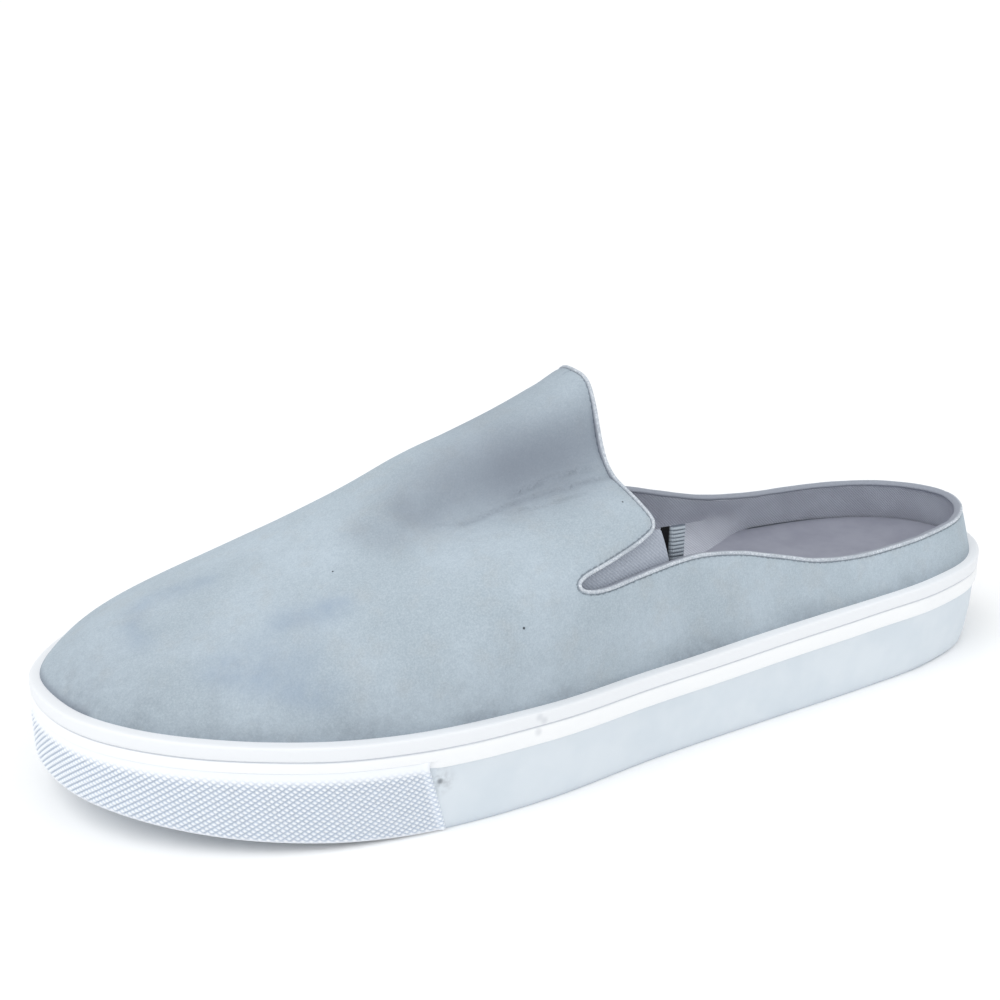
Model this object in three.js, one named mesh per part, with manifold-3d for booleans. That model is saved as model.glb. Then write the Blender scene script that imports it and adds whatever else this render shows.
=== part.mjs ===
import * as THREE from "three";
import { mergeVertices } from "three/addons/utils/BufferGeometryUtils.js";
import Module from "manifold-3d";

const wasm = await Module();
wasm.setup();

// Slip-on sneaker mule for the left foot, in millimetres.
// The toe points to -X, the heel to +X, the outer side of the foot to -Y, and up is +Z.

// Main sizes.
const OUTSOLE_LENGTH = 280;
const BALL_WIDTH = 99.6;
const HEEL_FOXING_HEIGHT = 28.4;
const INSTEP_HEIGHT = 92.5;

// Walls and strips.
const UPPER_WALL = 2.2;
const FOXING_HEIGHT = 8.6;
const FOXING_THICKNESS = 2.6;
const FOXING_GROOVE = 0.5;
const UPPER_TUCK = 4.7;
const BINDING_WIDTH = 1.9;
const BINDING_SWELL = 0.35;
const GORE_THICKNESS = 1.3;
const BUMPER_THICKNESS = 1.2;
const BUMPER_SETBACK = 0.15;
const SOLE_SETBACK = 0.74;
const INSOLE_THICKNESS = 4.8;
const GAP = 0.3;

// Limits of the ridge line, as shares of the outsole length.
const RIDGE_REAR = 0.1;
const RIDGE_FRONT = 0.88;

// The medial topline's height over the foxing, as a share of the lateral one's.
const MEDIAL_RISE = 0.94;

// Outsole outline: half widths to the lateral and medial side of the heel axis, as shares of the ball width.
const OUTLINE = [
  { share: 0.012, lateral: 0.118, medial: 0.115 },
  { share: 0.05, lateral: 0.23, medial: 0.233 },
  { share: 0.12, lateral: 0.306, medial: 0.316 },
  { share: 0.22, lateral: 0.349, medial: 0.348 },
  { share: 0.35, lateral: 0.394, medial: 0.353 },
  { share: 0.48, lateral: 0.444, medial: 0.385 },
  { share: 0.6, lateral: 0.506, medial: 0.439 },
  { share: 0.7, lateral: 0.522, medial: 0.478 },
  { share: 0.8, lateral: 0.495, medial: 0.482 },
  { share: 0.88, lateral: 0.413, medial: 0.431 },
  { share: 0.945, lateral: 0.29, medial: 0.328 },
  { share: 0.985, lateral: 0.145, medial: 0.184 },
];
const TOE_TIP = 0.056;

// Steps taken along each stretch of the outline, from the heel to the toe.
const STEPS = [4, 3, 3, 3, 3, 3, 3, 3, 3, 3, 3, 4, 4];

// Sole heights, as shares of the foxing height at the heel.
const SOLE = [
  { share: 0, foxing: 1, ground: 0, undercut: 0.085 },
  { share: 0.08, foxing: 0.978, ground: 0, undercut: 0.06 },
  { share: 0.25, foxing: 0.94, ground: 0, undercut: 0.014 },
  { share: 0.5, foxing: 0.884, ground: 0, undercut: 0.014 },
  { share: 0.7, foxing: 0.905, ground: 0, undercut: 0.014 },
  { share: 0.85, foxing: 0.982, ground: 0.112, undercut: 0.01 },
  { share: 1, foxing: 1.063, ground: 0.335, undercut: 0.01 },
];

// The last over the foxing. Crown is the height of the ridge and body that of the rounded form under it,
// as shares of the instep height. Ridge is the ridge's place across and crest its half width, as shares
// of the ball width. Square is how full the section is, and lean how far its wall leans in as it rises.
const LAST = [
  { share: 0, crown: 1, body: 0.75, ridge: 0.02, crest: 0.155, square: 4, lean: 0.32 },
  { share: 0.12, crown: 1, body: 0.75, ridge: 0.02, crest: 0.155, square: 4, lean: 0.27 },
  { share: 0.3, crown: 1, body: 0.75, ridge: 0.02, crest: 0.155, square: 4, lean: 0.25 },
  { share: 0.42, crown: 1, body: 0.75, ridge: 0.025, crest: 0.155, square: 4, lean: 0.15 },
  { share: 0.485, crown: 1, body: 0.75, ridge: 0.025, crest: 0.155, square: 4, lean: 0.06 },
  { share: 0.52, crown: 0.945, body: 0.74, ridge: 0.03, crest: 0.157, square: 3.8, lean: 0.04 },
  { share: 0.56, crown: 0.888, body: 0.72, ridge: 0.035, crest: 0.16, square: 3.5, lean: 0.03 },
  { share: 0.66, crown: 0.77, body: 0.67, ridge: 0.045, crest: 0.17, square: 2.9, lean: 0 },
  { share: 0.73, crown: 0.672, body: 0.625, ridge: 0.06, crest: 0.19, square: 2.5, lean: 0 },
  { share: 0.8, crown: 0.575, body: 0.57, ridge: 0.08, crest: 0.22, square: 2.2, lean: 0 },
  { share: 0.88, crown: 0.505, body: 0.505, ridge: 0.08, crest: 0.22, square: 1.95, lean: 0 },
  { share: 0.94, crown: 0.46, body: 0.46, ridge: 0.07, crest: 0.22, square: 1.92, lean: 0 },
  { share: 1, crown: 0.42, body: 0.42, ridge: 0.056, crest: 0.22, square: 1.85, lean: 0 },
];

// Edge of the upper from the heel along the topline, into the side notch and up the rear of the flap.
// Rise is the height over the foxing as a share of the instep height.
const EDGE = [
  { share: -0.06, rise: 0.131 },
  { share: 0.0, rise: 0.131 },
  { share: 0.06, rise: 0.13 },
  { share: 0.11, rise: 0.13 },
  { share: 0.17, rise: 0.128 },
  { share: 0.22, rise: 0.13 },
  { share: 0.278, rise: 0.153 },
  { share: 0.328, rise: 0.197 },
  { share: 0.375, rise: 0.24 },
  { share: 0.422, rise: 0.268 },
  { share: 0.46, rise: 0.274 },
  { share: 0.5, rise: 0.269 },
  { share: 0.535, rise: 0.259 },
  { share: 0.552, rise: 0.262 },
  { share: 0.5635, rise: 0.275 },
  { share: 0.5655, rise: 0.292 },
  { share: 0.558, rise: 0.308 },
  { share: 0.54, rise: 0.323 },
  { share: 0.51, rise: 0.347 },
  { share: 0.487, rise: 0.368 },
  { share: 0.4765, rise: 0.381 },
  { share: 0.4745, rise: 0.396 },
  { share: 0.479, rise: 0.422 },
  { share: 0.4865, rise: 0.465 },
  { share: 0.4905, rise: 0.52 },
  { share: 0.4915, rise: 0.6 },
  { share: 0.4915, rise: 0.8 },
];

// Outline of the elastic gore behind the notch.
const GORE = [
  { share: 0.458, rise: 0.18 },
  { share: 0.457, rise: 0.368 },
  { share: 0.5, rise: 0.39 },
  { share: 0.55, rise: 0.38 },
  { share: 0.6, rise: 0.3 },
  { share: 0.56, rise: 0.2 },
  { share: 0.5, rise: 0.17 },
];

// Ribbed tape that stands behind each gore.
const TAPE_WIDTH = 4.2;
const TAPE_HEIGHT = 16.5;
const TAPE_THICKNESS = 1;
const TAPE_RIB = 0.35;
const TAPE_RIBS = 11;
const TAPE_SHARE = 0.449;
const TAPE_RISE = 0.205;
const TAPE_SETBACK = 8.7;


// Toe bumper: where it starts and ends along the sole, as a place in the outline table.
const BUMPER_LATERAL = 8.02;
const BUMPER_MEDIAL = 17.98;
const BUMPER_SLANT = 0.15;
const BUMPER_OVERLAP = 2.4;

// Reads one column of a table at a share of the length, with a smooth curve through the rows.
function read(rows, column, share) {
  let k = 0;
  while (k < rows.length - 2 && share > rows[k + 1].share) {
    k += 1;
  }
  const slope = (i) => {
    const a = rows[Math.max(i - 1, 0)];
    const b = rows[i];
    const c = rows[Math.min(i + 1, rows.length - 1)];
    const left = i > 0 ? (b[column] - a[column]) / (b.share - a.share) : 0;
    const right = i < rows.length - 1 ? (c[column] - b[column]) / (c.share - b.share) : 0;
    if (i === 0) {
      return right;
    }
    if (i === rows.length - 1) {
      return left;
    }
    return left * right > 0 ? (2 * left * right) / (left + right) : 0;
  };
  const from = rows[k];
  const to = rows[k + 1];
  const span = to.share - from.share;
  const t = Math.min(Math.max((share - from.share) / span, 0), 1);
  const pull = t * (1 - t);
  return (
    from[column] +
    (to[column] - from[column]) * t * t * (3 - 2 * t) +
    span * pull * ((1 - t) * slope(k) - t * slope(k + 1))
  );
}

function lastHeight(column, share) {
  return read(LAST, column, share) * INSTEP_HEIGHT;
}

function soleHeight(column, share) {
  return read(SOLE, column, share) * HEEL_FOXING_HEIGHT;
}

// Closed outline of the sole in plan: x is the distance from the heel, y the place across.
const corners = [
  new THREE.Vector3(0, 0, 0),
  ...OUTLINE.map((row) => new THREE.Vector3(row.share * OUTSOLE_LENGTH, -row.lateral * BALL_WIDTH, 0)),
  new THREE.Vector3(OUTSOLE_LENGTH, TOE_TIP * BALL_WIDTH, 0),
  ...OUTLINE.toReversed().map(
    (row) => new THREE.Vector3(row.share * OUTSOLE_LENGTH, row.medial * BALL_WIDTH, 0),
  ),
];
const outline = new THREE.CatmullRomCurve3(corners, true, "centripetal");
const TOE_PLACE = OUTLINE.length + 1;

// A place runs from 0 at the heel over the lateral side to the toe and back over the medial side.
function outlinePoint(place, inset) {
  const at = place / corners.length;
  const point = outline.getPoint(at);
  const tangent = outline.getTangent(at);
  return {
    along: point.x - tangent.y * inset,
    across: point.y + tangent.x * inset,
    share: Math.min(Math.max(point.x / OUTSOLE_LENGTH, 0), 1),
  };
}

const sidePlaces = STEPS.flatMap((count, row) =>
  Array.from({ length: count }, (_, step) => row + step / count),
);
const PLACES = [
  ...sidePlaces,
  TOE_PLACE,
  ...sidePlaces
    .slice(1)
    .toReversed()
    .map((place) => corners.length - place),
];

// The frame's origin is on the ground, under the middle of the outline.
const outlineAcross = PLACES.map((place) => outlinePoint(place, 0).across);
const CENTRE_ACROSS = (Math.min(...outlineAcross) + Math.max(...outlineAcross)) / 2;

function toWorld(along, across, height) {
  return new THREE.Vector3(OUTSOLE_LENGTH / 2 - along, across - CENTRE_ACROSS, height);
}

// Both sides share one point of the ridge for each step along the outline.
function ridgeShare(place) {
  const here = outlinePoint(place, 0).share;
  const there = outlinePoint((corners.length - place) % corners.length, 0).share;
  return RIDGE_REAR + ((RIDGE_FRONT - RIDGE_REAR) * (here + there)) / 2;
}

// A point on the outside of the last. Climb runs from 0 at the foxing to 1 on the ridge.
function lastPoint(place, climb) {
  const base = outlinePoint(place, FOXING_THICKNESS + GAP);
  const share = ridgeShare(place);
  const ridgeAlong = share * OUTSOLE_LENGTH;
  const ridgeAcross = read(LAST, "ridge", share) * BALL_WIDTH;
  const reach = Math.hypot(ridgeAlong - base.along, ridgeAcross - base.across);
  const angle = (climb * Math.PI) / 2;
  const side = Math.cos(angle);
  const top = Math.sin(angle);
  const square = read(LAST, "square", base.share);
  const size = (side ** square + top ** square) ** (1 / square);
  const out = side / size;
  const up = top / size;
  const foot = soleHeight("foxing", base.share);
  const lean = read(LAST, "lean", base.share) * up * (INSTEP_HEIGHT - foot) * 0.6 * out;
  const moved = 1 - out + lean / reach;
  const along = base.along + (ridgeAlong - base.along) * moved;
  const across = base.across + (ridgeAcross - base.across) * moved;
  const local = along / OUTSOLE_LENGTH;
  const body = lastHeight("body", local);
  const crest = lastHeight("crown", local) - body;
  const away = (reach * (1 - moved)) / (read(LAST, "crest", local) * BALL_WIDTH);
  const height = foot + (body - foot) * up + crest * Math.exp(-(away ** 4)) * up;
  return toWorld(along, across, height);
}

// The same point moved square to the last, inward when inset is above zero.
function insetPoint(place, climb, inset) {
  const step = 0.02;
  const low = Math.max(climb - step, 0);
  const high = Math.min(climb + step, 1);
  const across = lastPoint(place, high).sub(lastPoint(place, low));
  const onward = lastPoint((place + step) % corners.length, climb).sub(
    lastPoint((place - step + corners.length) % corners.length, climb),
  );
  const normal = across.cross(onward).normalize();
  if (climb > 1 - step) {
    normal.set(normal.x, 0, normal.z).normalize();
  }
  return lastPoint(place, climb).addScaledVector(normal, -inset);
}

// Geometry of a closed body from rings of points, capped from side to side at both ends.
function ringBody(rings, joined) {
  const count = rings[0].length;
  const positions = rings.flatMap((ring) => ring.flatMap((point) => point.toArray()));
  const faces = [];
  const quad = (a, b, c, d) => faces.push(a, b, c, a, c, d);
  const last = joined ? rings.length : rings.length - 1;
  for (let r = 0; r < last; r += 1) {
    const low = r * count;
    const high = ((r + 1) % rings.length) * count;
    for (let i = 0; i < count; i += 1) {
      const n = (i + 1) % count;
      quad(low + i, low + n, high + n, high + i);
    }
  }
  const half = count / 2;
  const cap = (start, flip) => {
    for (let i = 0; i < half; i += 1) {
      const a = start + i;
      const b = start + i + 1;
      const c = start + ((count - i - 1) % count);
      const d = start + ((count - i) % count);
      if (flip) {
        quad(d, c, b, a);
      } else {
        quad(a, b, c, d);
      }
    }
  };
  if (!joined) {
    cap(0, true);
    cap((rings.length - 1) * count, false);
  }
  return finish(positions, faces);
}

// Geometry of a strip from cross sections in order, closed by a fan at each end.
function stripBody(sections) {
  const count = sections[0].length;
  const positions = sections.flatMap((section) => section.flatMap((point) => point.toArray()));
  const faces = [];
  for (let s = 0; s < sections.length - 1; s += 1) {
    for (let i = 0; i < count; i += 1) {
      const n = (i + 1) % count;
      const a = s * count;
      const b = a + count;
      faces.push(a + i, a + n, b + n, a + i, b + n, b + i);
    }
  }
  const end = (sections.length - 1) * count;
  for (let i = 1; i < count - 1; i += 1) {
    faces.push(0, i + 1, i, end, end + i, end + i + 1);
  }
  return finish(positions, faces);
}

// Joins equal points, drops faces that have closed up, and turns the body to face out.
function finish(positions, faces) {
  const raw = new THREE.BufferGeometry();
  raw.setAttribute("position", new THREE.Float32BufferAttribute(positions, 3));
  raw.setIndex(faces);
  const joined = mergeVertices(raw, 0.001);
  const index = [];
  const old = joined.index.array;
  for (let f = 0; f < old.length; f += 3) {
    if (old[f] !== old[f + 1] && old[f + 1] !== old[f + 2] && old[f + 2] !== old[f]) {
      index.push([old[f], old[f + 1], old[f + 2]]);
    }
  }
  const at = (i) => new THREE.Vector3().fromBufferAttribute(joined.attributes.position, i);
  const volume = index.reduce((sum, [a, b, c]) => sum + at(a).dot(at(b).cross(at(c))), 0);
  joined.setIndex(index.flatMap((face) => (volume > 0 ? face : face.toReversed())));
  return joined;
}

function toSolid(geometry) {
  const bare = new THREE.BufferGeometry();
  bare.setAttribute("position", geometry.getAttribute("position").clone());
  if (geometry.index) {
    bare.setIndex(geometry.index);
  }
  const merged = mergeVertices(bare, 0.0001);
  const mesh = new wasm.Mesh({
    numProp: 3,
    vertProperties: new Float32Array(merged.attributes.position.array),
    triVerts: new Uint32Array(merged.index.array),
  });
  return new wasm.Manifold(mesh);
}

function toGeometry(solid) {
  const mesh = solid.simplify(0.02).getMesh();
  const geometry = new THREE.BufferGeometry();
  geometry.setAttribute("position", new THREE.Float32BufferAttribute(mesh.vertProperties, 3));
  geometry.setIndex([...mesh.triVerts]);
  return geometry;
}

// A prism from a side view, from the middle plane outward over one side of the shoe.
const MIDDLE = read(LAST, "ridge", 0.48) * BALL_WIDTH - CENTRE_ACROSS;
function sidePrism(points, side) {
  const depth = BALL_WIDTH;
  const shape = new THREE.Shape(points.map((p) => new THREE.Vector2(p.x, p.y)));
  const prism = new THREE.ExtrudeGeometry(shape, { depth, bevelEnabled: false, steps: 1 });
  prism.rotateX(Math.PI / 2);
  prism.translate(0, MIDDLE + (side === "medial" ? depth - GAP : GAP), 0);
  return toSolid(prism);
}

// Rows of share and rise as points of the side view.
function sidePoints(rows, side) {
  return rows.map((row) => {
    const blend = THREE.MathUtils.smoothstep(row.share, 0, 0.16);
    const factor = side === "medial" ? 1 + (MEDIAL_RISE - 1) * blend : 1;
    const foot = soleHeight("foxing", Math.max(row.share, 0));
    return new THREE.Vector3(
      OUTSOLE_LENGTH / 2 - row.share * OUTSOLE_LENGTH,
      foot + row.rise * factor * INSTEP_HEIGHT,
      0,
    );
  });
}

const EDGE_STEPS = 76;

// The edge in the side view, moved into the opening by a distance and trimmed where it would cross itself.
function edgeCurve(side, distance) {
  const curve = new THREE.CatmullRomCurve3(sidePoints(EDGE, side), false, "centripetal");
  const steps = Array.from({ length: EDGE_STEPS + 1 }, (_, i) => i / EDGE_STEPS);
  const edge = steps.map((at) => curve.getPointAt(at));
  const moved = steps.map((at) => {
    const point = curve.getPointAt(at);
    const tangent = curve.getTangentAt(at);
    return new THREE.Vector3(point.x + tangent.y * distance, point.y - tangent.x * distance, 0);
  });
  const clear = moved.filter((point) => edge.every((e) => e.distanceTo(point) > distance * 0.97));
  return (distance > 0 ? clear : edge).map((point) => new THREE.Vector2(point.x, point.y));
}

// Everything over and behind the edge, on one side.
function opening(side) {
  const edge = edgeCurve(side, 0);
  const top = INSTEP_HEIGHT * 1.5;
  const start = edge[0];
  const end = edge.at(-1);
  return sidePrism([...edge, new THREE.Vector2(end.x, top), new THREE.Vector2(start.x, top)], side);
}

// The strip along the edge that the rolled binding takes up.
function edgeStrip(side) {
  const near = edgeCurve(side, GAP);
  const far = edgeCurve(side, GAP + BINDING_WIDTH);
  return sidePrism([...near, ...far.toReversed()], side);
}

const ROWS = 14;
const CLIMBS = Array.from({ length: ROWS + 1 }, (_, k) => 1 - (1 - k / ROWS) ** 1.2);

// The last as a closed body, inset by a distance, with its foot let down below the foxing.
function lastBody(inset, drop) {
  const rings = CLIMBS.map((climb) => PLACES.map((place) => insetPoint(place, climb, inset)));
  const foot = rings[0].map((point, i) => {
    const share = outlinePoint(PLACES[i], 0).share;
    return new THREE.Vector3(point.x, point.y, soleHeight("foxing", share) - drop);
  });
  return toSolid(ringBody([foot, ...rings], false));
}

function shell(outer, inner) {
  return lastBody(outer, UPPER_TUCK).subtract(lastBody(inner, UPPER_TUCK + 2));
}

const openings = opening("lateral").add(opening("medial"));
const upper = shell(0, UPPER_WALL).subtract(openings);
const strips = edgeStrip("lateral").add(edgeStrip("medial"));
const binding = shell(-BINDING_SWELL, UPPER_WALL).intersect(strips);

const goreShell = shell(UPPER_WALL + GAP, UPPER_WALL + GAP + GORE_THICKNESS);
function gorePiece(side) {
  return goreShell.intersect(sidePrism(sidePoints(GORE, side), side));
}

// A tape with ribs across it, standing inside the quarter.
function tapePiece(side) {
  const half = TAPE_THICKNESS / 2;
  const pitch = TAPE_HEIGHT / TAPE_RIBS;
  const ribs = Array.from({ length: TAPE_RIBS }, (_, i) => [
    new THREE.Vector2(half, pitch * i),
    new THREE.Vector2(half + TAPE_RIB, pitch * (i + 0.25)),
    new THREE.Vector2(half + TAPE_RIB, pitch * (i + 0.75)),
  ]).flat();
  const shape = new THREE.Shape([
    new THREE.Vector2(-half, 0),
    ...ribs,
    new THREE.Vector2(half, TAPE_HEIGHT),
    new THREE.Vector2(-half, TAPE_HEIGHT),
  ]);
  const tape = new THREE.ExtrudeGeometry(shape, { depth: TAPE_WIDTH, bevelEnabled: false, steps: 1 });
  const turn = side === "lateral" ? 1 : -1;
  tape.applyMatrix4(
    new THREE.Matrix4().makeBasis(
      new THREE.Vector3(0, -turn, 0),
      new THREE.Vector3(0, 0, 1),
      new THREE.Vector3(-turn, 0, 0),
    ),
  );
  const across = read(OUTLINE, side, TAPE_SHARE) * BALL_WIDTH - FOXING_THICKNESS - GAP - TAPE_SETBACK;
  const foot = soleHeight("foxing", TAPE_SHARE) + TAPE_RISE * INSTEP_HEIGHT;
  const along = TAPE_SHARE * OUTSOLE_LENGTH - (turn * TAPE_WIDTH) / 2;
  const place = toWorld(along, -turn * across, foot);
  tape.translate(place.x, place.y, place.z);
  return tape;
}

// Foxing: a flat rib, a groove and a rounded rib. Inset is from the outline and drop from the foxing top.
const FOXING_PROFILE = [
  { inset: FOXING_THICKNESS, drop: 0 },
  { inset: 0.4, drop: 0 },
  { inset: 0.15, drop: 0.3 },
  { inset: 0.15, drop: FOXING_HEIGHT * 0.49 },
  { inset: 0.15 + FOXING_GROOVE, drop: FOXING_HEIGHT * 0.53 },
  { inset: 0.1, drop: FOXING_HEIGHT * 0.6 },
  { inset: 0, drop: FOXING_HEIGHT * 0.76 },
  { inset: 0.12, drop: FOXING_HEIGHT * 0.93 },
  { inset: 0.4, drop: FOXING_HEIGHT },
  { inset: FOXING_THICKNESS, drop: FOXING_HEIGHT },
];
function foxingPoint(place, row) {
  const point = outlinePoint(place, row.inset);
  return toWorld(point.along, point.across, soleHeight("foxing", point.share) - row.drop);
}
const foxingRing = ringBody(
  FOXING_PROFILE.map((row) => PLACES.map((place) => foxingPoint(place, row))),
  true,
);

// Side of the sole under the foxing. Height runs from 0 at the ground edge to 1 under the foxing, and
// under is the share of the undercut there.
const SOLE_SIDE = [
  { height: 0, inset: 0.5, under: 1 },
  { height: 0.05, inset: 0.1, under: 0.72 },
  { height: 0.22, inset: 0, under: 0.42 },
  { height: 0.55, inset: 0, under: 0.12 },
  { height: 1, inset: 0, under: 0 },
];
function solePoint(place, row, outward, lift) {
  const share = outlinePoint(place, 0).share;
  const undercut = soleHeight("undercut", share) * row.under;
  const point = outlinePoint(place, SOLE_SETBACK + row.inset + undercut - outward);
  const low = soleHeight("ground", share);
  const high = soleHeight("foxing", share) - FOXING_HEIGHT - GAP;
  return toWorld(point.along, point.across, low + (high - low) * row.height + lift);
}
function deckPoint(place, inset, drop) {
  const point = outlinePoint(place, inset);
  return toWorld(point.along, point.across, soleHeight("foxing", point.share) - drop);
}
const soleRings = [
  ...SOLE_SIDE.map((row) => PLACES.map((place) => solePoint(place, row, 0, 0))),
  PLACES.map((place) => deckPoint(place, FOXING_THICKNESS + GAP, FOXING_HEIGHT + GAP)),
  PLACES.map((place) => deckPoint(place, FOXING_THICKNESS + GAP, UPPER_TUCK + GAP)),
];

// Toe bumper: a sheet round the toe, let into the side of the sole. Grow makes the pocket for it.
function bumperBody(grow) {
  const count = 28;
  const from = BUMPER_LATERAL - grow / 20;
  const to = BUMPER_MEDIAL + grow / 20;
  const outward = SOLE_SETBACK - BUMPER_SETBACK + grow * 4;
  const inward = SOLE_SETBACK - BUMPER_SETBACK - BUMPER_THICKNESS - grow;
  const low = { ...SOLE_SIDE[0], lift: -grow * 4 };
  const rows = [low, ...SOLE_SIDE.slice(grow > 0 ? 0 : 1), { ...SOLE_SIDE.at(-1), lift: BUMPER_OVERLAP + grow }];
  const sections = Array.from({ length: count + 1 }, (_, i) => {
    const share = i / count;
    const place = (row) => from + (to - from) * share + (1 - 2 * share) * BUMPER_SLANT * row.height;
    const face = rows.map((row) => solePoint(place(row), row, outward, row.lift ?? 0));
    const back = rows.map((row) => solePoint(place(row), row, inward, row.lift ?? 0));
    return [...face, ...back.toReversed()];
  });
  return stripBody(sections);
}
const pocket = toSolid(bumperBody(GAP));
const sole = toSolid(ringBody(soleRings, false)).subtract(pocket);

// Insole: a soft board with a raised rim, inside the foot of the upper.
const INSOLE_PROFILE = [
  { inset: 0, height: 0 },
  { inset: 0.9, height: 0.9 },
  { inset: 1.6, height: 1 },
  { inset: 9, height: 0.86 },
];
const INSOLE_FRONT_SHARE = 0.7;
function insolePoint(place, row) {
  const point = outlinePoint(place, FOXING_THICKNESS + UPPER_WALL + GAP * 2 + row.inset);
  const thick = INSOLE_THICKNESS * (1 - (1 - INSOLE_FRONT_SHARE) * Math.min(point.share * 1.6, 1));
  const floor = soleHeight("foxing", point.share) - UPPER_TUCK;
  return toWorld(point.along, point.across, floor + thick * row.height);
}
const insole = ringBody(
  INSOLE_PROFILE.map((row) => PLACES.map((place) => insolePoint(place, row))),
  false,
);

const group = new THREE.Group();
function add(name, geometry, color, roughness) {
  const material = new THREE.MeshStandardMaterial({ color, roughness, metalness: 0 });
  const mesh = new THREE.Mesh(geometry, material);
  mesh.name = name;
  group.add(mesh);
}
add("upper", toGeometry(upper), "#aebec9", 0.92);
add("collar_binding", toGeometry(binding), "#c3cad1", 0.85);
add("gore_lateral", toGeometry(gorePiece("lateral")), "#a9aeb9", 0.9);
add("gore_medial", toGeometry(gorePiece("medial")), "#a9aeb9", 0.9);
add("gore_tape_lateral", toGeometry(toSolid(tapePiece("lateral"))), "#8c9cab", 0.85);
add("gore_tape_medial", toGeometry(toSolid(tapePiece("medial"))), "#8c9cab", 0.85);
add("insole", insole, "#a7a9b3", 0.75);
add("foxing_band", toGeometry(toSolid(foxingRing).subtract(pocket)), "#f4f6f9", 0.55);
add("toe_bumper", bumperBody(0), "#e3eaf2", 0.6);
add("sole", toGeometry(sole), "#dfe7ef", 0.6);

export default group;
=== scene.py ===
# %% [markdown]
# # A sneaker mule, built around its CAD frame
#
# This file dresses the CAD model of a left slip-on mule: light nubuck upper, twill lining, rolled
# binding, elastic gores, and a white foxed rubber sole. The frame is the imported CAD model. It stays
# as it is, and each piece made here stands in for one of its nodes, in the same place and in metres.
# The steps go from the camera to the last, then piece by piece, and end with the room and the lights.

import math
import bpy
import numpy as np
from mathutils import Matrix, Vector


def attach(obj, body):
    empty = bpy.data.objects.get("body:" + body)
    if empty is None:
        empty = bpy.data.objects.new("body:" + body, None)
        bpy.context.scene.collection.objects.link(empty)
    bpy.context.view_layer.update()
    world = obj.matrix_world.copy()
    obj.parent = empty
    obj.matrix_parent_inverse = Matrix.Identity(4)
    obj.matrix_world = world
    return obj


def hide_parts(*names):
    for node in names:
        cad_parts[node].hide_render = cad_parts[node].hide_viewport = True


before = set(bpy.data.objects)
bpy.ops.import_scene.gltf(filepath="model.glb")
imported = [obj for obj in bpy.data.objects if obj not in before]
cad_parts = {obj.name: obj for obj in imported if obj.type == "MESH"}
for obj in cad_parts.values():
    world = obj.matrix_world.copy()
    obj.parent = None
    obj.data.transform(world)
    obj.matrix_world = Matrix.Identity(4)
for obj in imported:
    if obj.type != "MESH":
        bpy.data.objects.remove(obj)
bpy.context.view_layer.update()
MM = 0.001
print("nodes:", ", ".join(sorted(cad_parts)))

# %% [markdown]
# ## The camera
#
# A product photographer stands off to the toe side and looks down on the shoe. The place, lens and
# roll below were worked out from the sole's outline, so the render has the same perspective as the
# real picture. A short distance and a moderate lens make the toe look larger than the heel.

# %% Camera
CAMERA_PLACE = (-171.3, -316.2, 186.6)
CAMERA_AZIMUTH = -25.543
CAMERA_ELEVATION = 19.772
CAMERA_ROLL = -0.733
LENS = 51.70

azimuth, elevation, roll = (math.radians(v) for v in (CAMERA_AZIMUTH, CAMERA_ELEVATION, CAMERA_ROLL))
back = Vector(
    (
        math.sin(azimuth) * math.cos(elevation),
        -math.cos(azimuth) * math.cos(elevation),
        math.sin(elevation),
    )
)
right = Vector((math.cos(azimuth), math.sin(azimuth), 0))
up = back.cross(right)
rolled_right = right * math.cos(roll) - up * math.sin(roll)
rolled_up = right * math.sin(roll) + up * math.cos(roll)

camera_data = bpy.data.cameras.new("camera")
camera_data.lens = LENS
camera_data.sensor_width = 36
camera_data.clip_start = 0.01
camera = bpy.data.objects.new("camera", camera_data)
bpy.context.scene.collection.objects.link(camera)
turn = Matrix((rolled_right, rolled_up, back)).transposed().to_4x4()
camera.matrix_world = Matrix.Translation(Vector(CAMERA_PLACE) * MM) @ turn
bpy.context.scene.camera = camera
print("camera is", round(camera.location.length, 3), "m from the middle of the shoe's footprint")

# %% [markdown]
# ## The last
#
# A shoe is made over a last, a solid foot form. Its sizes are few, and each is named once here, in
# millimetres. They are the sizes of the CAD model, so every piece below lands on the frame without
# any fitting.

# %% Sizes
OUTSOLE_LENGTH = 280
BALL_WIDTH = 99.6
HEEL_FOXING_HEIGHT = 28.4
INSTEP_HEIGHT = 92.5
UPPER_WALL = 2.2
FOXING_HEIGHT = 8.6
FOXING_THICKNESS = 2.6
UPPER_TUCK = 4.7
SOLE_SETBACK = 0.74
GAP = 0.3
RIDGE_REAR = 0.1
RIDGE_FRONT = 0.88
MEDIAL_RISE = 0.94
TOE_TIP = 0.056
CENTRE_ACROSS = -1.7608
print("outsole", OUTSOLE_LENGTH, "mm long, ball", BALL_WIDTH, "mm wide, instep", INSTEP_HEIGHT, "mm high")

# %% [markdown]
# A last could be sculpted, but a maker keeps it as a set of sections, and so do these tables: one row
# for each section, with lengths as shares of the named sizes. They hold the sole's outline, the
# height of the foxing and of the ground under it, each section's ridge, body, fullness and lean, and
# the upper's cut edge as it is drawn in the side view.

# %% Tables

def table(names, *rows):
    return {name: np.array([row[k] for row in rows], float) for k, name in enumerate(names.split())}


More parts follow.
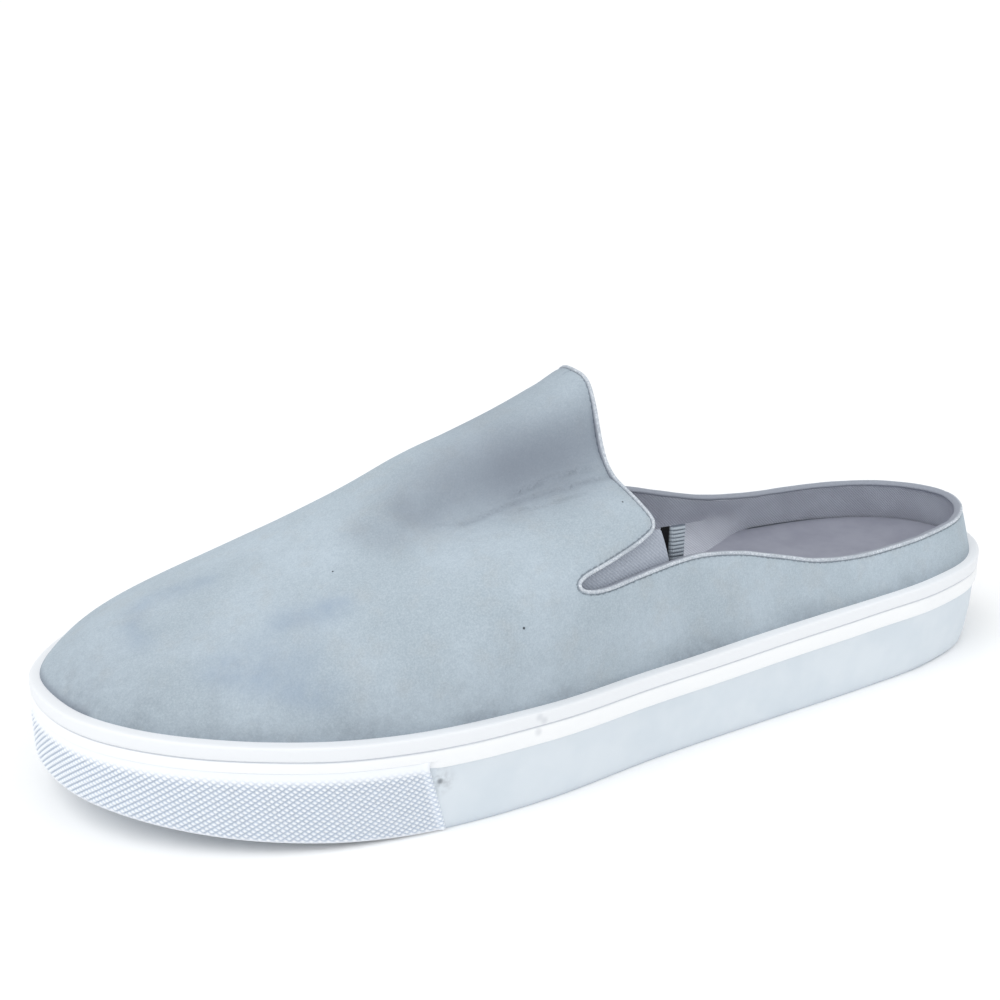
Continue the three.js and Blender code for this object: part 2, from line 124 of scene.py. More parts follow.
OUTLINE = table(
    "share lateral medial",
    (0.012, 0.118, 0.115),
    (0.05, 0.23, 0.233),
    (0.12, 0.306, 0.316),
    (0.22, 0.349, 0.348),
    (0.35, 0.394, 0.353),
    (0.48, 0.444, 0.385),
    (0.6, 0.506, 0.439),
    (0.7, 0.522, 0.478),
    (0.8, 0.495, 0.482),
    (0.88, 0.413, 0.431),
    (0.945, 0.29, 0.328),
    (0.985, 0.145, 0.184),
)
SOLE = table(
    "share foxing ground undercut",
    (0, 1, 0, 0.085),
    (0.08, 0.978, 0, 0.06),
    (0.25, 0.94, 0, 0.014),
    (0.5, 0.884, 0, 0.014),
    (0.7, 0.905, 0, 0.014),
    (0.85, 0.982, 0.112, 0.01),
    (1, 1.063, 0.335, 0.01),
)
LAST = table(
    "share crown body ridge crest square lean",
    (0, 1, 0.75, 0.02, 0.155, 4, 0.32),
    (0.12, 1, 0.75, 0.02, 0.155, 4, 0.27),
    (0.3, 1, 0.75, 0.02, 0.155, 4, 0.25),
    (0.42, 1, 0.75, 0.025, 0.155, 4, 0.15),
    (0.485, 1, 0.75, 0.025, 0.155, 4, 0.06),
    (0.52, 0.945, 0.74, 0.03, 0.157, 3.8, 0.04),
    (0.56, 0.888, 0.72, 0.035, 0.16, 3.5, 0.03),
    (0.66, 0.77, 0.67, 0.045, 0.17, 2.9, 0),
    (0.73, 0.672, 0.625, 0.06, 0.19, 2.5, 0),
    (0.8, 0.575, 0.57, 0.08, 0.22, 2.2, 0),
    (0.88, 0.505, 0.505, 0.08, 0.22, 1.95, 0),
    (0.94, 0.46, 0.46, 0.07, 0.22, 1.92, 0),
    (1, 0.42, 0.42, 0.056, 0.22, 1.85, 0),
)
EDGE = table(
    "share rise",
    (-0.06, 0.131),
    (0.0, 0.131),
    (0.06, 0.13),
    (0.11, 0.13),
    (0.17, 0.128),
    (0.22, 0.13),
    (0.278, 0.153),
    (0.328, 0.197),
    (0.375, 0.24),
    (0.422, 0.268),
    (0.46, 0.274),
    (0.5, 0.269),
    (0.535, 0.259),
    (0.552, 0.262),
    (0.5635, 0.275),
    (0.5655, 0.292),
    (0.558, 0.308),
    (0.54, 0.323),
    (0.51, 0.347),
    (0.487, 0.368),
    (0.4765, 0.381),
    (0.4745, 0.396),
    (0.479, 0.422),
    (0.4865, 0.465),
    (0.4905, 0.52),
    (0.4915, 0.6),
    (0.4915, 0.8),
)
print("sections of the last:", len(LAST["share"]), "and points on the upper's edge:", len(EDGE["share"]))

# %% [markdown]
# A table is read with a smooth curve through its rows that never overshoots them, so a form stays
# quiet between two sections. Straight lines between the rows would leave a crease at each row.

# %% Reading a table

def read(rows, column, share):
    x, y = rows["share"], rows[column]
    share = np.asarray(share, float)
    step = np.diff(y) / np.diff(x)
    slope = np.zeros(len(x))
    both = step[:-1] * step[1:] > 0
    total = np.where(both, step[:-1] + step[1:], 1)
    slope[1:-1] = np.where(both, 2 * step[:-1] * step[1:] / total, 0)
    slope[0], slope[-1] = step[0], step[-1]
    k = np.clip(np.searchsorted(x, share, side="left") - 1, 0, len(x) - 2)
    span = x[k + 1] - x[k]
    t = np.clip((share - x[k]) / span, 0, 1)
    smooth = y[k] + (y[k + 1] - y[k]) * t * t * (3 - 2 * t)
    return smooth + span * t * (1 - t) * ((1 - t) * slope[k] - t * slope[k + 1])


print("foxing in the middle:", round(float(read(SOLE, "foxing", 0.5)) * HEEL_FOXING_HEIGHT, 1), "mm high")

# %% [markdown]
# The outline is a closed spline through the table's points, from the heel over the outer side to the
# toe and back over the inner side. A place on it is a number that runs from 0 to 26, and every ring
# of rubber below is this outline, set in or out by some tenths of a millimetre.

# %% The outline

def spline(points, at, closed):
    points = np.asarray(points, float)
    count = len(points)
    if not closed:
        points = np.vstack([2 * points[0] - points[1], points, 2 * points[-1] - points[-2]])
    at = np.asarray(at, float)
    k = np.clip(np.floor(at).astype(int), 0, None if closed else count - 2)
    w = (at - k)[:, None]
    index = [(k + d) % count if closed else k + d + 1 for d in (-1, 0, 1, 2)]
    a, b, c, d = (points[i] for i in index)
    gap = [np.sqrt(np.linalg.norm(q - p, axis=1))[:, None] for p, q in ((a, b), (b, c), (c, d))]
    start = ((b - a) / gap[0] - (c - a) / (gap[0] + gap[1]) + (c - b) / gap[1]) * gap[1]
    end = ((c - b) / gap[1] - (d - b) / (gap[1] + gap[2]) + (d - c) / gap[2]) * gap[1]
    return b + start * w + (3 * (c - b) - 2 * start - end) * w**2 + (2 * (b - c) + start + end) * w**3


def outline_corners():
    along, lateral, medial = (OUTLINE[k] for k in ("share", "lateral", "medial"))
    xs = [0, *along, 1, *along[::-1]]
    ys = [0, *-lateral, TOE_TIP, *medial[::-1]]
    return np.c_[np.array(xs) * OUTSOLE_LENGTH, np.array(ys) * BALL_WIDTH]


CORNERS = outline_corners()
TURN = len(CORNERS)
TOE = TURN // 2


def outline(place, inset=0.0):
    """Distance from the heel, place across, and share of the length, of a point inside the outline."""
    place = np.atleast_1d(np.asarray(place, float)) % TURN
    point = spline(CORNERS, place, True)
    ahead = spline(CORNERS, (place + 0.0026) % TURN, True)
    behind = spline(CORNERS, (place - 0.0026) % TURN, True)
    tangent = ahead - behind
    tangent /= np.linalg.norm(tangent, axis=1)[:, None]
    share = np.clip(point[:, 0] / OUTSOLE_LENGTH, 0, 1)
    return point[:, 0] - tangent[:, 1] * inset, point[:, 1] + tangent[:, 0] * inset, share


def to_world(along, across, height):
    along, across, height = np.broadcast_arrays(along, across, height)
    return np.stack([OUTSOLE_LENGTH / 2 - along, across - CENTRE_ACROSS, height], -1)


def foxing_top(share):
    return read(SOLE, "foxing", share) * HEEL_FOXING_HEIGHT


whole = outline(np.linspace(0, TURN, 2000))
length, width = (round(float(np.ptp(part)), 1) for part in whole[:2])
print("outline: length", length, "mm, width", width, "mm")

# %% [markdown]
# A point on the last is found from its place on the outline and its climb, from 0 at the foxing to 1
# on the ridge. The section is a rounded box under a narrow crest, which is what gives the vamp of a
# mule its hollow flanks under the flap. The direction square to the surface comes from two small
# steps along it, and every thickness is laid off along that direction.

# %% The last's surface

def last_point(place, climb):
    place, climb = np.broadcast_arrays(np.asarray(place, float), np.asarray(climb, float))
    shape = place.shape
    place, climb = place.ravel() % TURN, climb.ravel()
    along0, across0, share0 = outline(place, FOXING_THICKNESS + GAP)
    other = outline((TURN - place) % TURN)[2]
    share = RIDGE_REAR + (RIDGE_FRONT - RIDGE_REAR) * (share0 + other) / 2
    ridge_along = share * OUTSOLE_LENGTH
    ridge_across = read(LAST, "ridge", share) * BALL_WIDTH
    reach = np.hypot(ridge_along - along0, ridge_across - across0)
    side, top = np.abs(np.cos(climb * np.pi / 2)), np.sin(climb * np.pi / 2)
    square = read(LAST, "square", share0)
    size = (side**square + top**square) ** (1 / square)
    out, rise = side / size, top / size
    foot = foxing_top(share0)
    lean = read(LAST, "lean", share0) * rise * (INSTEP_HEIGHT - foot) * 0.6 * out
    moved = 1 - out + lean / reach
    along = along0 + (ridge_along - along0) * moved
    across = across0 + (ridge_across - across0) * moved
    local = along / OUTSOLE_LENGTH
    body = read(LAST, "body", local) * INSTEP_HEIGHT
    crest = read(LAST, "crown", local) * INSTEP_HEIGHT - body
    away = reach * (1 - moved) / (read(LAST, "crest", local) * BALL_WIDTH)
    height = foot + (body - foot) * rise + crest * np.exp(-(away**4)) * rise
    return to_world(along, across, height).reshape(*shape, 3)


def last_normal(place, climb):
    place, climb = np.broadcast_arrays(np.asarray(place, float), np.asarray(climb, float))
    step = 0.02
    rise = last_point(place, np.minimum(climb + step, 1)) - last_point(place, np.maximum(climb - step, 0))
    onward = last_point(place + step, climb) - last_point(place - step, climb)
    normal = np.cross(rise, onward)
    blend = np.clip((1 - climb) / step, 0, 1)[..., None]
    normal = normal * np.where(np.arange(3) == 1, blend, 1)
    return normal / np.maximum(np.linalg.norm(normal, axis=-1, keepdims=True), 1e-9)


top_point = last_point(4.9, 1.0)
print("ridge over the notch stands", round(float(top_point[2]), 1), "mm high")

# %% [markdown]
# ## A net over the last
#
# Fabric and leather are cut from flat stock and pulled over the last, so each soft piece is a patch of
# the same surface. A net of even steps is laid over it once: columns run from the foxing up to the
# ridge and down the other side, at equal distances along the outline.

# %% The net

def even_places(count, medial=False):
    fine = np.linspace(0, TOE, 2601)
    fine = TURN - fine if medial else fine
    along, across, _ = outline(fine, FOXING_THICKNESS + GAP)
    length = np.r_[0, np.cumsum(np.hypot(np.diff(along), np.diff(across)))]
    return np.interp(np.linspace(0, length[-1], count), length, fine)


def net(columns, rows):
    """Places and climbs of an even net, as arrays of columns by 2 * rows + 1 points."""
    sides = []
    for medial in (False, True):
        places = even_places(columns, medial)
        fine = np.linspace(0, 1, 241)
        points = last_point(places[:, None], fine[None, :])
        steps = np.linalg.norm(np.diff(points, axis=1), axis=2)
        length = np.c_[np.zeros(columns), np.cumsum(steps, axis=1)]
        wanted = np.linspace(0, 1, rows + 1)
        climbs = np.array([np.interp(wanted * row[-1], row, fine) for row in length])
        sides.append((np.repeat(places[:, None], rows + 1, 1), climbs))
    (lateral, low), (medial, high) = sides
    places = np.c_[lateral, medial[:, ::-1][:, 1:]]
    climbs = np.c_[low, high[:, ::-1][:, 1:]]
    return places, climbs


def net_faces(columns, rows):
    i, j = np.meshgrid(np.arange(columns - 1), np.arange(2 * rows), indexing="ij")
    wide = 2 * rows + 1
    a, b = (i * wide + j).ravel(), ((i + 1) * wide + j).ravel()
    c, d = b + 1, a + 1
    return np.vstack([np.c_[a, b, c], np.c_[a, c, d]])


COLUMNS, ROWS = 291, 78
net_places, net_climbs = net(COLUMNS, ROWS)
net_points = last_point(net_places, net_climbs).reshape(-1, 3)
net_normals = last_normal(net_places, net_climbs).reshape(-1, 3)
net_triangles = net_faces(COLUMNS, ROWS)
print("net over the last:", len(net_points), "points")

# %% [markdown]
# A patch is cut out of the net by a number that is above zero on the material, and the cut follows
# that number's zero line. Deleting whole faces would be quicker, but it leaves a jagged edge. The two
# halves of the net touch at heel and toe, and there their points are joined.

# %% Cutting a patch

def cut(points, layers, faces, keep):
    """Cuts triangles along the zero line of keep, and drops what lies below it."""
    keep = np.where(np.abs(keep) < 1e-6, 1e-6, keep)
    inside = keep > 0
    count = inside[faces].sum(1)
    whole_faces = faces[count == 3]
    new_points, new_layers, made = [], [], {}
    start = len(points)

    def between(a, b):
        key = (min(a, b), max(a, b))
        if key not in made:
            t = keep[a] / (keep[a] - keep[b])
            made[key] = start + len(new_points)
            new_points.append(points[a] + (points[b] - points[a]) * t)
            new_layers.append(layers[a] + (layers[b] - layers[a]) * t)
        return made[key]

    pieces = []
    for face in faces[(count == 1) | (count == 2)]:
        kept = inside[face]
        alone = kept.sum() == 1
        k = int(np.argmax(kept if alone else ~kept))
        a, b, c = (int(face[(k + n) % 3]) for n in range(3))
        ab, ac = between(a, b), between(a, c)
        if alone:
            pieces.append((a, ab, ac))
        else:
            pieces += [(ab, b, c), (ab, c, ac)]
    if new_points:
        points = np.vstack([points, new_points])
        layers = np.vstack([layers, new_layers])
        whole_faces = np.vstack([whole_faces, np.array(pieces)])
    used = np.unique(whole_faces)
    renumber = np.zeros(len(points), int)
    renumber[used] = np.arange(len(used))
    return points[used], layers[used], renumber[whole_faces]


def sound_faces(faces):
    """Drops triangles that have shrunk to a line."""
    a, b, c = faces.T
    return faces[(a != b) & (b != c) & (c != a)]


def weld(points, layers, faces, reach=0.004):
    """Joins points that lie on each other, as where the two halves of the net meet at heel and toe."""
    key = np.round(points / reach).astype(int)
    _, first, back_to = np.unique(key, axis=0, return_index=True, return_inverse=True)
    back_to = back_to.ravel()
    return points[first], layers[first], sound_faces(back_to[faces])


print("faces to cut from:", len(net_triangles))

# %% [markdown]
# Real leather has two faces and an edge. A patch becomes a wall when its faces are doubled and the
# rim between them is filled in, and the rim, put in order, is also the path of the binding.

# %% Rims and walls

def rim_edges(faces):
    """Directed edges that only one face uses."""
    edges = np.vstack([faces[:, [0, 1]], faces[:, [1, 2]], faces[:, [2, 0]]])
    size = int(faces.max()) + 1
    low, high = edges.min(1), edges.max(1)
    _, index, times = np.unique(low * size + high, return_index=True, return_counts=True)
    return edges[index[times == 1]]


def loops(edges):
    """Puts directed edges in order, as one list of points for each loop."""
    follow = {}
    for a, b in edges:
        follow.setdefault(int(a), []).append(int(b))
    found = []
    while follow:
        here = next(iter(follow))
        loop = []
        while here in follow:
            loop.append(here)
            onward = follow[here].pop()
            if not follow[here]:
                del follow[here]
            here = onward
        found.append(loop)
    return sorted(found, key=len)


def thicken(faces, count):
    """Faces of a closed wall from those of its outer skin. The inner skin's points follow the outer ones."""
    rim = rim_edges(faces)
    a, b = rim[:, 0], rim[:, 1]
    sides = np.vstack([np.c_[b, a, a + count], np.c_[b, a + count, b + count]])
    return np.vstack([faces, faces[:, ::-1] + count, sides])


print("edges round the whole net:", len(rim_edges(net_triangles)))

# %% [markdown]
# The upper's edge is drawn in the side view: along the topline from the heel, into the notch, and up
# the rear of the flap. Its points are heights over the foxing, and a share on the inner side is a
# little lower. The signed distance from that line tells the material from the opening, and the same
# test with a closed line gives the gores.

# %% Lines in the side view

def side_points(rows, medial):
    share = rows["share"]
    blend = np.clip(share / 0.16, 0, 1)
    blend = blend * blend * (3 - 2 * blend)
    factor = 1 + (MEDIAL_RISE - 1) * blend if medial else 1
    height = foxing_top(np.maximum(share, 0)) + rows["rise"] * factor * INSTEP_HEIGHT
    return np.c_[OUTSOLE_LENGTH / 2 - share * OUTSOLE_LENGTH, height]


def distance_to_line(points, line):
    best = np.full(len(points), np.inf)
    for a, b in zip(line[:-1], line[1:]):
        side = b - a
        t = np.clip(((points - a) @ side) / max(side @ side, 1e-12), 0, 1)
        best = np.minimum(best, np.linalg.norm(points - a - t[:, None] * side, axis=1))
    return best


def inside_polygon(points, polygon):
    x, z = points.T
    hit = np.zeros(len(points), bool)
    for (ax, az), (bx, bz) in zip(polygon, np.roll(polygon, -1, axis=0)):
        if az == bz:
            continue
        crosses = ((az > z) != (bz > z)) & (x < (bx - ax) * (z - az) / (bz - az) + ax)
        hit ^= crosses
    return hit


def edge_line(medial):
    rows = side_points(EDGE, medial)
    return spline(rows, np.linspace(0, len(rows) - 1, 521), False)


def upper_distance(points, medial):
    line = edge_line(medial)
    top = [[line[-1, 0], 150.0], [line[0, 0], 150.0]]
    near = distance_to_line(points[:, [0, 2]], line)
    return np.where(inside_polygon(points[:, [0, 2]], np.vstack([line, top])), -near, near)


def by_side(points, places, measure):
    """A measure that has one form for the lateral side and one for the medial side."""
    value = np.empty(len(points))
    for medial in (False, True):
        here = (places > TOE) == medial
        value[here] = measure(points[here], medial)
    return value


def upper_measure(points, places, rows):
    """Distance from the upper's edge for each point of a net. On the ridge both sides have a say."""
    keep = by_side(points, places, upper_distance)
    ridge = np.arange(len(points)) % (2 * rows + 1) == rows
    keep[ridge] = np.minimum(*(upper_distance(points[ridge], medial) for medial in (False, True)))
    return keep


flat_places = net_places.ravel()
upper_keep = upper_measure(net_points, flat_places, ROWS)
print("share of the net that the upper covers:", round(float((upper_keep > 0).mean()), 2))

# %% [markdown]
# ## Making a mesh
#
# Every piece comes from arrays of points in millimetres and triangles or quads. Layers of numbers
# that differ from point to point, such as the distance from an edge or how dirty a spot is, go along
# as attributes, and the materials read them by name.

# %% Making a piece

def make_piece(name, node, points, faces, finishes, layers=None, face_finish=None, sharp=40):
    data = bpy.data.meshes.new(name)
    faces = np.asarray(faces, int)
    sides = faces.shape[1]
    data.vertices.add(len(points))
    data.vertices.foreach_set("co", (np.asarray(points, float) * MM).ravel())
    data.loops.add(faces.size)
    data.loops.foreach_set("vertex_index", faces.ravel())
    data.polygons.add(len(faces))
    data.polygons.foreach_set("loop_start", np.arange(len(faces)) * sides)
    if face_finish is not None:
        data.polygons.foreach_set("material_index", np.asarray(face_finish, int))
    for key, values in (layers or {}).items():
        attribute = data.attributes.new(key, "FLOAT", "POINT")
        attribute.data.foreach_set("value", np.asarray(values, float))
    data.update(calc_edges=True)
    data.validate()
    data.shade_smooth()
    data.set_sharp_from_angle(angle=math.radians(sharp))
    for finish in finishes:
        data.materials.append(finish)
    piece = bpy.data.objects.new(name, data)
    bpy.context.scene.collection.objects.link(piece)
    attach(piece, "root")
    if node:
        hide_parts(node)
    triangles = sum(len(p.vertices) - 2 for p in data.polygons)
    print(f"{name}: {len(points)} points, {triangles} triangles")
    return piece


print("meshes before the first piece:", len(bpy.data.meshes))

# %% [markdown]
# The rubber pieces are lofts: rings of the same number of points, one above the other, joined by
# quads. A ring is closed by rows of points from side to side, because one large face with many
# corners shades badly.

# %% Rings, lofts and bridges

def ring_places(half):
    """Even places all the way round, starting at the heel, with the toe in the middle."""
    lateral, medial = even_places(half), even_places(half, True)
    return np.r_[lateral, medial[::-1][1:-1]]


def loft(rings, joined=False):
    """Quads between rings of equal length."""
    count, around = len(rings), len(rings[0])
    r, i = np.meshgrid(np.arange(count if joined else count - 1), np.arange(around), indexing="ij")
    r, i = r.ravel(), i.ravel()
    n, s = (i + 1) % around, (r + 1) % count
    return np.c_[r * around + i, r * around + n, s * around + n, s * around + i]


def bridge(ring, across):
    """Points and quads that close a ring from side to side, with its own points as the border."""
    around = len(ring)
    half = around // 2
    pairs = [(i, (around - i) % around) for i in range(half + 1)]
    points, index = [], np.zeros((half + 1, across + 1), int)
    for i, (a, b) in enumerate(pairs):
        index[i, 0], index[i, across] = a, b
        for k in range(1, across):
            if a == b:
                index[i, k] = a
                continue
            index[i, k] = around + len(points)
            points.append(ring[a] + (ring[b] - ring[a]) * k / across)
    quads = [
        (index[i, k], index[i + 1, k], index[i + 1, k + 1], index[i, k + 1])
        for i in range(half)
        for k in range(across)
    ]
    return np.array(points).reshape(-1, 3), np.array(quads)


def tidy_quads(quads):
    """Quads with two equal corners become triangles, so the list is split into triangles first."""
    a, b, c, d = np.asarray(quads).T
    return sound_faces(np.vstack([np.c_[a, b, c], np.c_[a, c, d]]))


def capped_loft(rings, top_rows, low_rows):
    """Points of a loft that is closed above and below, and its side, top and bottom faces."""
    points = np.vstack(rings)
    around, last = len(rings[0]), len(points) - len(rings[0])
    top_points, top = bridge(rings[-1], top_rows)
    low_points, low = bridge(rings[0], low_rows)
    low_start = len(points) + len(top_points)
    top = np.where(top < around, top + last, top - around + len(points))
    low = np.where(low < around, low, low - around + low_start)
    faces = [tidy_quads(part) for part in (loft(rings), top, low[:, ::-1])]
    return np.vstack([points, top_points, low_points]), faces


print("points in a ring of 100 steps a side:", len(ring_places(100)))

# %% [markdown]
# Two small helpers keep the forms soft. One fades between two values, and one gives the gentle
# unevenness that keeps hand-lasted leather from looking moulded. It is seeded, so it never changes.

# %% Soft steps and ripples

def soft_step(low, high, value):
    t = np.clip((value - low) / (high - low), 0, 1)
    return t * t * (3 - 2 * t)


def ripple(points, size, seed):
    """Smooth seeded unevenness between -1 and 1, with waves of about the given size in mm."""
    chance = np.random.default_rng(seed)
    total = np.zeros(len(points))
    for _ in range(7):
        way = chance.normal(size=3)
        way *= 2 * math.pi / (size * chance.uniform(0.8, 1.7) * np.linalg.norm(way))
        total += np.sin(points @ way + chance.uniform(0, 2 * math.pi))
    return total / 4.2


print("unevenness at the origin:", round(float(ripple(np.zeros((1, 3)), 26, 3)[0]), 2))

# %% [markdown]
# ## Finishes
#
# The finishes are mixed from noise at the real scale of each material, given in millimetres, so no
# picture is needed and a finish keeps its grain on any piece. The class below is a short way to add
# nodes: noise, ribs, a spot, a blend of two colours, and bump laid over bump.

# %% Shader helpers

def linear(red, green, blue, alpha=1.0):
    parts = [v / 255 for v in (red, green, blue)]
    parts = [v / 12.92 if v <= 0.04045 else ((v + 0.055) / 1.055) ** 2.4 for v in parts]
    return (*parts, alpha)


class Finish:
    """A material with short ways to add nodes to it."""

    def __init__(self, name, colour, roughness, specular=0.3):
        self.material = bpy.data.materials.new(name)
        self.material.use_nodes = True
        self.tree = self.material.node_tree
        self.shader = self.tree.nodes["Principled BSDF"]
        self.shader.inputs["Base Color"].default_value = colour
        self.shader.inputs["Roughness"].default_value = roughness
        self.shader.inputs["Specular IOR Level"].default_value = specular
        self.place = self.add("ShaderNodeTexCoord").outputs["Object"]

    def add(self, kind, **inputs):
        node = self.tree.nodes.new(kind)
        self.feed(node, inputs)
        return node

    def feed(self, node, inputs):
        for name, value in inputs.items():
            socket = node.inputs[int(name[1:]) if name[1:].isdigit() else name.replace("_", " ")]
            if isinstance(value, bpy.types.NodeSocket):
                self.tree.links.new(value, socket)
            else:
                socket.default_value = value

    def noise(self, size, detail=2.0, rough=0.5):
        scale = 1 / (size * MM)
        node = self.add("ShaderNodeTexNoise", Vector=self.place, Scale=scale, Detail=detail, Roughness=rough)
        return node.outputs["Fac"]

    def cell_edges(self, size):
        node = self.tree.nodes.new("ShaderNodeTexVoronoi")
        node.feature = "DISTANCE_TO_EDGE"
        self.feed(node, {"Scale": 1 / (size * MM), "Vector": self.place})
        return node.outputs["Distance"]

    def attribute(self, name):
        node = self.tree.nodes.new("ShaderNodeAttribute")
        node.attribute_name = name
        return node.outputs["Fac"]

    def math(self, operation, a, b=0.0, c=None):
        node = self.tree.nodes.new("ShaderNodeMath")
        node.operation = operation
        self.feed(node, {"i0": a, "i1": b})
        if c is not None:
            self.feed(node, {"i2": c})
        return node.outputs["Value"]

    def remap(self, value, low, high, to_low=0.0, to_high=1.0):
        node = self.tree.nodes.new("ShaderNodeMapRange")
        node.interpolation_type = "SMOOTHSTEP"
        self.feed(node, {"i0": value, "i1": low, "i2": high, "i3": to_low, "i4": to_high})
        return node.outputs["Result"]

    def blend(self, share, a, b):
        node = self.tree.nodes.new("ShaderNodeMix")
        node.data_type = "RGBA"
        self.feed(node, {"i0": share, "i6": a, "i7": b})
        return node.outputs[2]

    def mottle(self, tone, colour, size, low, high, share, detail=3, rough=0.6):
        """Blends a second colour into a tone, in patches of about the given size in mm."""
        return self.blend(self.remap(self.noise(size, detail, rough), low, high, 0.0, share), tone, colour)

    def bump(self, height, distance, strength=1.0):
        node = self.add("ShaderNodeBump", Strength=strength, Distance=distance * MM, Height=height)
        last = self.shader.inputs["Normal"]
        if last.is_linked:
            self.tree.links.new(last.links[0].from_socket, node.inputs["Normal"])
        self.tree.links.new(node.outputs["Normal"], last)

    def stripes(self, pitch, along=(1, 1, 1)):
        """Even ribs square to a direction, from -1 to 1, counted in object space."""
        node = self.tree.nodes.new("ShaderNodeVectorMath")
        node.operation = "DOT_PRODUCT"
        self.feed(node, {"i0": self.place, "i1": along})
        size = math.sqrt(sum(v * v for v in along))
        turns = self.math("MULTIPLY", node.outputs["Value"], 2 * math.pi / (pitch * MM * size))
        return self.math("SINE", turns)

    def near(self, spot, low, high):
        """1 at a spot of the shoe, given in mm, and 0 away from it."""
        node = self.tree.nodes.new("ShaderNodeVectorMath")
        node.operation = "DISTANCE"
        self.feed(node, {"i0": self.place, "i1": tuple(v * MM for v in spot)})
        return self.remap(node.outputs["Value"], low * MM, high * MM, 1.0, 0.0)

    def colour(self, value):
        self.tree.links.new(value, self.shader.inputs["Base Color"])


print("finish helpers ready")

# %% [markdown]
# Nubuck is sanded leather: matte, with a very short nap, cloudy in tone and easily marked. Clouds some
# 20 mm across change its tone, warmer patches and flecks break it up, and a fine nap gives the velvet
# look. A little sheen lifts the tone where the surface turns away.

# %% Nubuck
nubuck = Finish("nubuck", linear(190, 204, 214), 0.92, 0.12)
clouds = nubuck.mottle(linear(167, 180, 189), linear(180, 193, 203), 22, 0.3, 0.72, 1.0, 3, 0.55)
warmer = nubuck.mottle(clouds, linear(172, 178, 181), 9, 0.48, 0.68, 0.35, 4, 0.65)
flecked = nubuck.mottle(warmer, linear(156, 168, 179), 1.6, 0.35, 0.7, 0.24)
tone = nubuck.mottle(flecked, linear(220, 229, 236), 0.45, 0.38, 0.66, 0.26, 3, 0.8)
nubuck.feed(nubuck.shader, {"Sheen_Weight": 0.25, "Sheen_Roughness": 0.5})
nubuck.shader.inputs["Sheen Tint"].default_value = linear(215, 226, 235)
print("finish:", nubuck.material.name)

# %% [markdown]
# Wear and painted shade come next. The pieces carry layers that say where shade is painted on the
# leather, where it is stained, and where it is dirty or darker towards the bottom, and noise breaks each
# mark up. The stitch line by the binding is a dark, slightly ragged line at a fixed distance from the
# edge, partly stitches and partly painted shadow in the gap between nubuck and binding, and a few
# pinprick dots sit where the real ones are.

# %% Marks on the nubuck
DOTS = [(7.24, 0.32, 0.42), (6.15, 0.58, 0.3), (6.11, 0.35, 0.42), (4.78, 0.25, 0.4), (8.98, 0.73, 0.3)]
# painted shade: darker in the hollows under the flap, along creases and in the gap at the toe
tone = nubuck.blend(nubuck.attribute("painted_shade"), tone, linear(124, 131, 143))
patchy = nubuck.noise(5, 4, 0.6)
stain = nubuck.math("MULTIPLY", nubuck.attribute("stain"), nubuck.remap(patchy, 0.3, 0.62, 0.5, 1.0))
tone = nubuck.blend(stain, tone, linear(146, 163, 184))
# dirt stretches, and the upper darker towards its foot
dirt_and_darkening_noise = nubuck.noise(2.6, 5, 0.75)
dirt_and_darkening = nubuck.math("MULTIPLY", nubuck.attribute("dirt_and_darkening"), nubuck.remap(dirt_and_darkening_noise, 0.3, 0.66, 0.55, 1.0))
tone = nubuck.blend(dirt_and_darkening, tone, linear(118, 126, 136))
# stitch line: dashed by the stitches, and partly a painted shadow in the gap between nubuck and binding
hair = nubuck.math("MULTIPLY", nubuck.math("SUBTRACT", nubuck.noise(0.6, 4, 0.75), 0.5), 0.9)
off_line = nubuck.math("ABSOLUTE", nubuck.math("SUBTRACT", nubuck.attribute("edge"), 0.22))
stitch = nubuck.math("SINE", nubuck.math("MULTIPLY", nubuck.attribute("run"), 2 * math.pi / 1.9))
wide = nubuck.math("MULTIPLY_ADD", stitch, 0.07, 0.2)
ragged = nubuck.math("SUBTRACT", nubuck.math("ADD", off_line, hair), wide)
line = nubuck.remap(ragged, -0.14, 0.16, 0.55, 0.0)
tone = nubuck.blend(line, tone, linear(70, 76, 88))
for place, climb, size in DOTS:
    dot = nubuck.near(last_point(place, climb), size * 0.55, size)
    tone = nubuck.blend(nubuck.math("MULTIPLY", dot, 0.9), tone, linear(30, 33, 40))
print("dots:", len(DOTS))

# %% [markdown]
# The fine wrinkles under the flap are narrower than the mesh can hold, so they are bump: each is a
# line on the last, and the piece tells the material how far a spot is from it. Each is also painted a
# little darker along its line, as painted shade in the crease. The wide creases are left to the mesh.

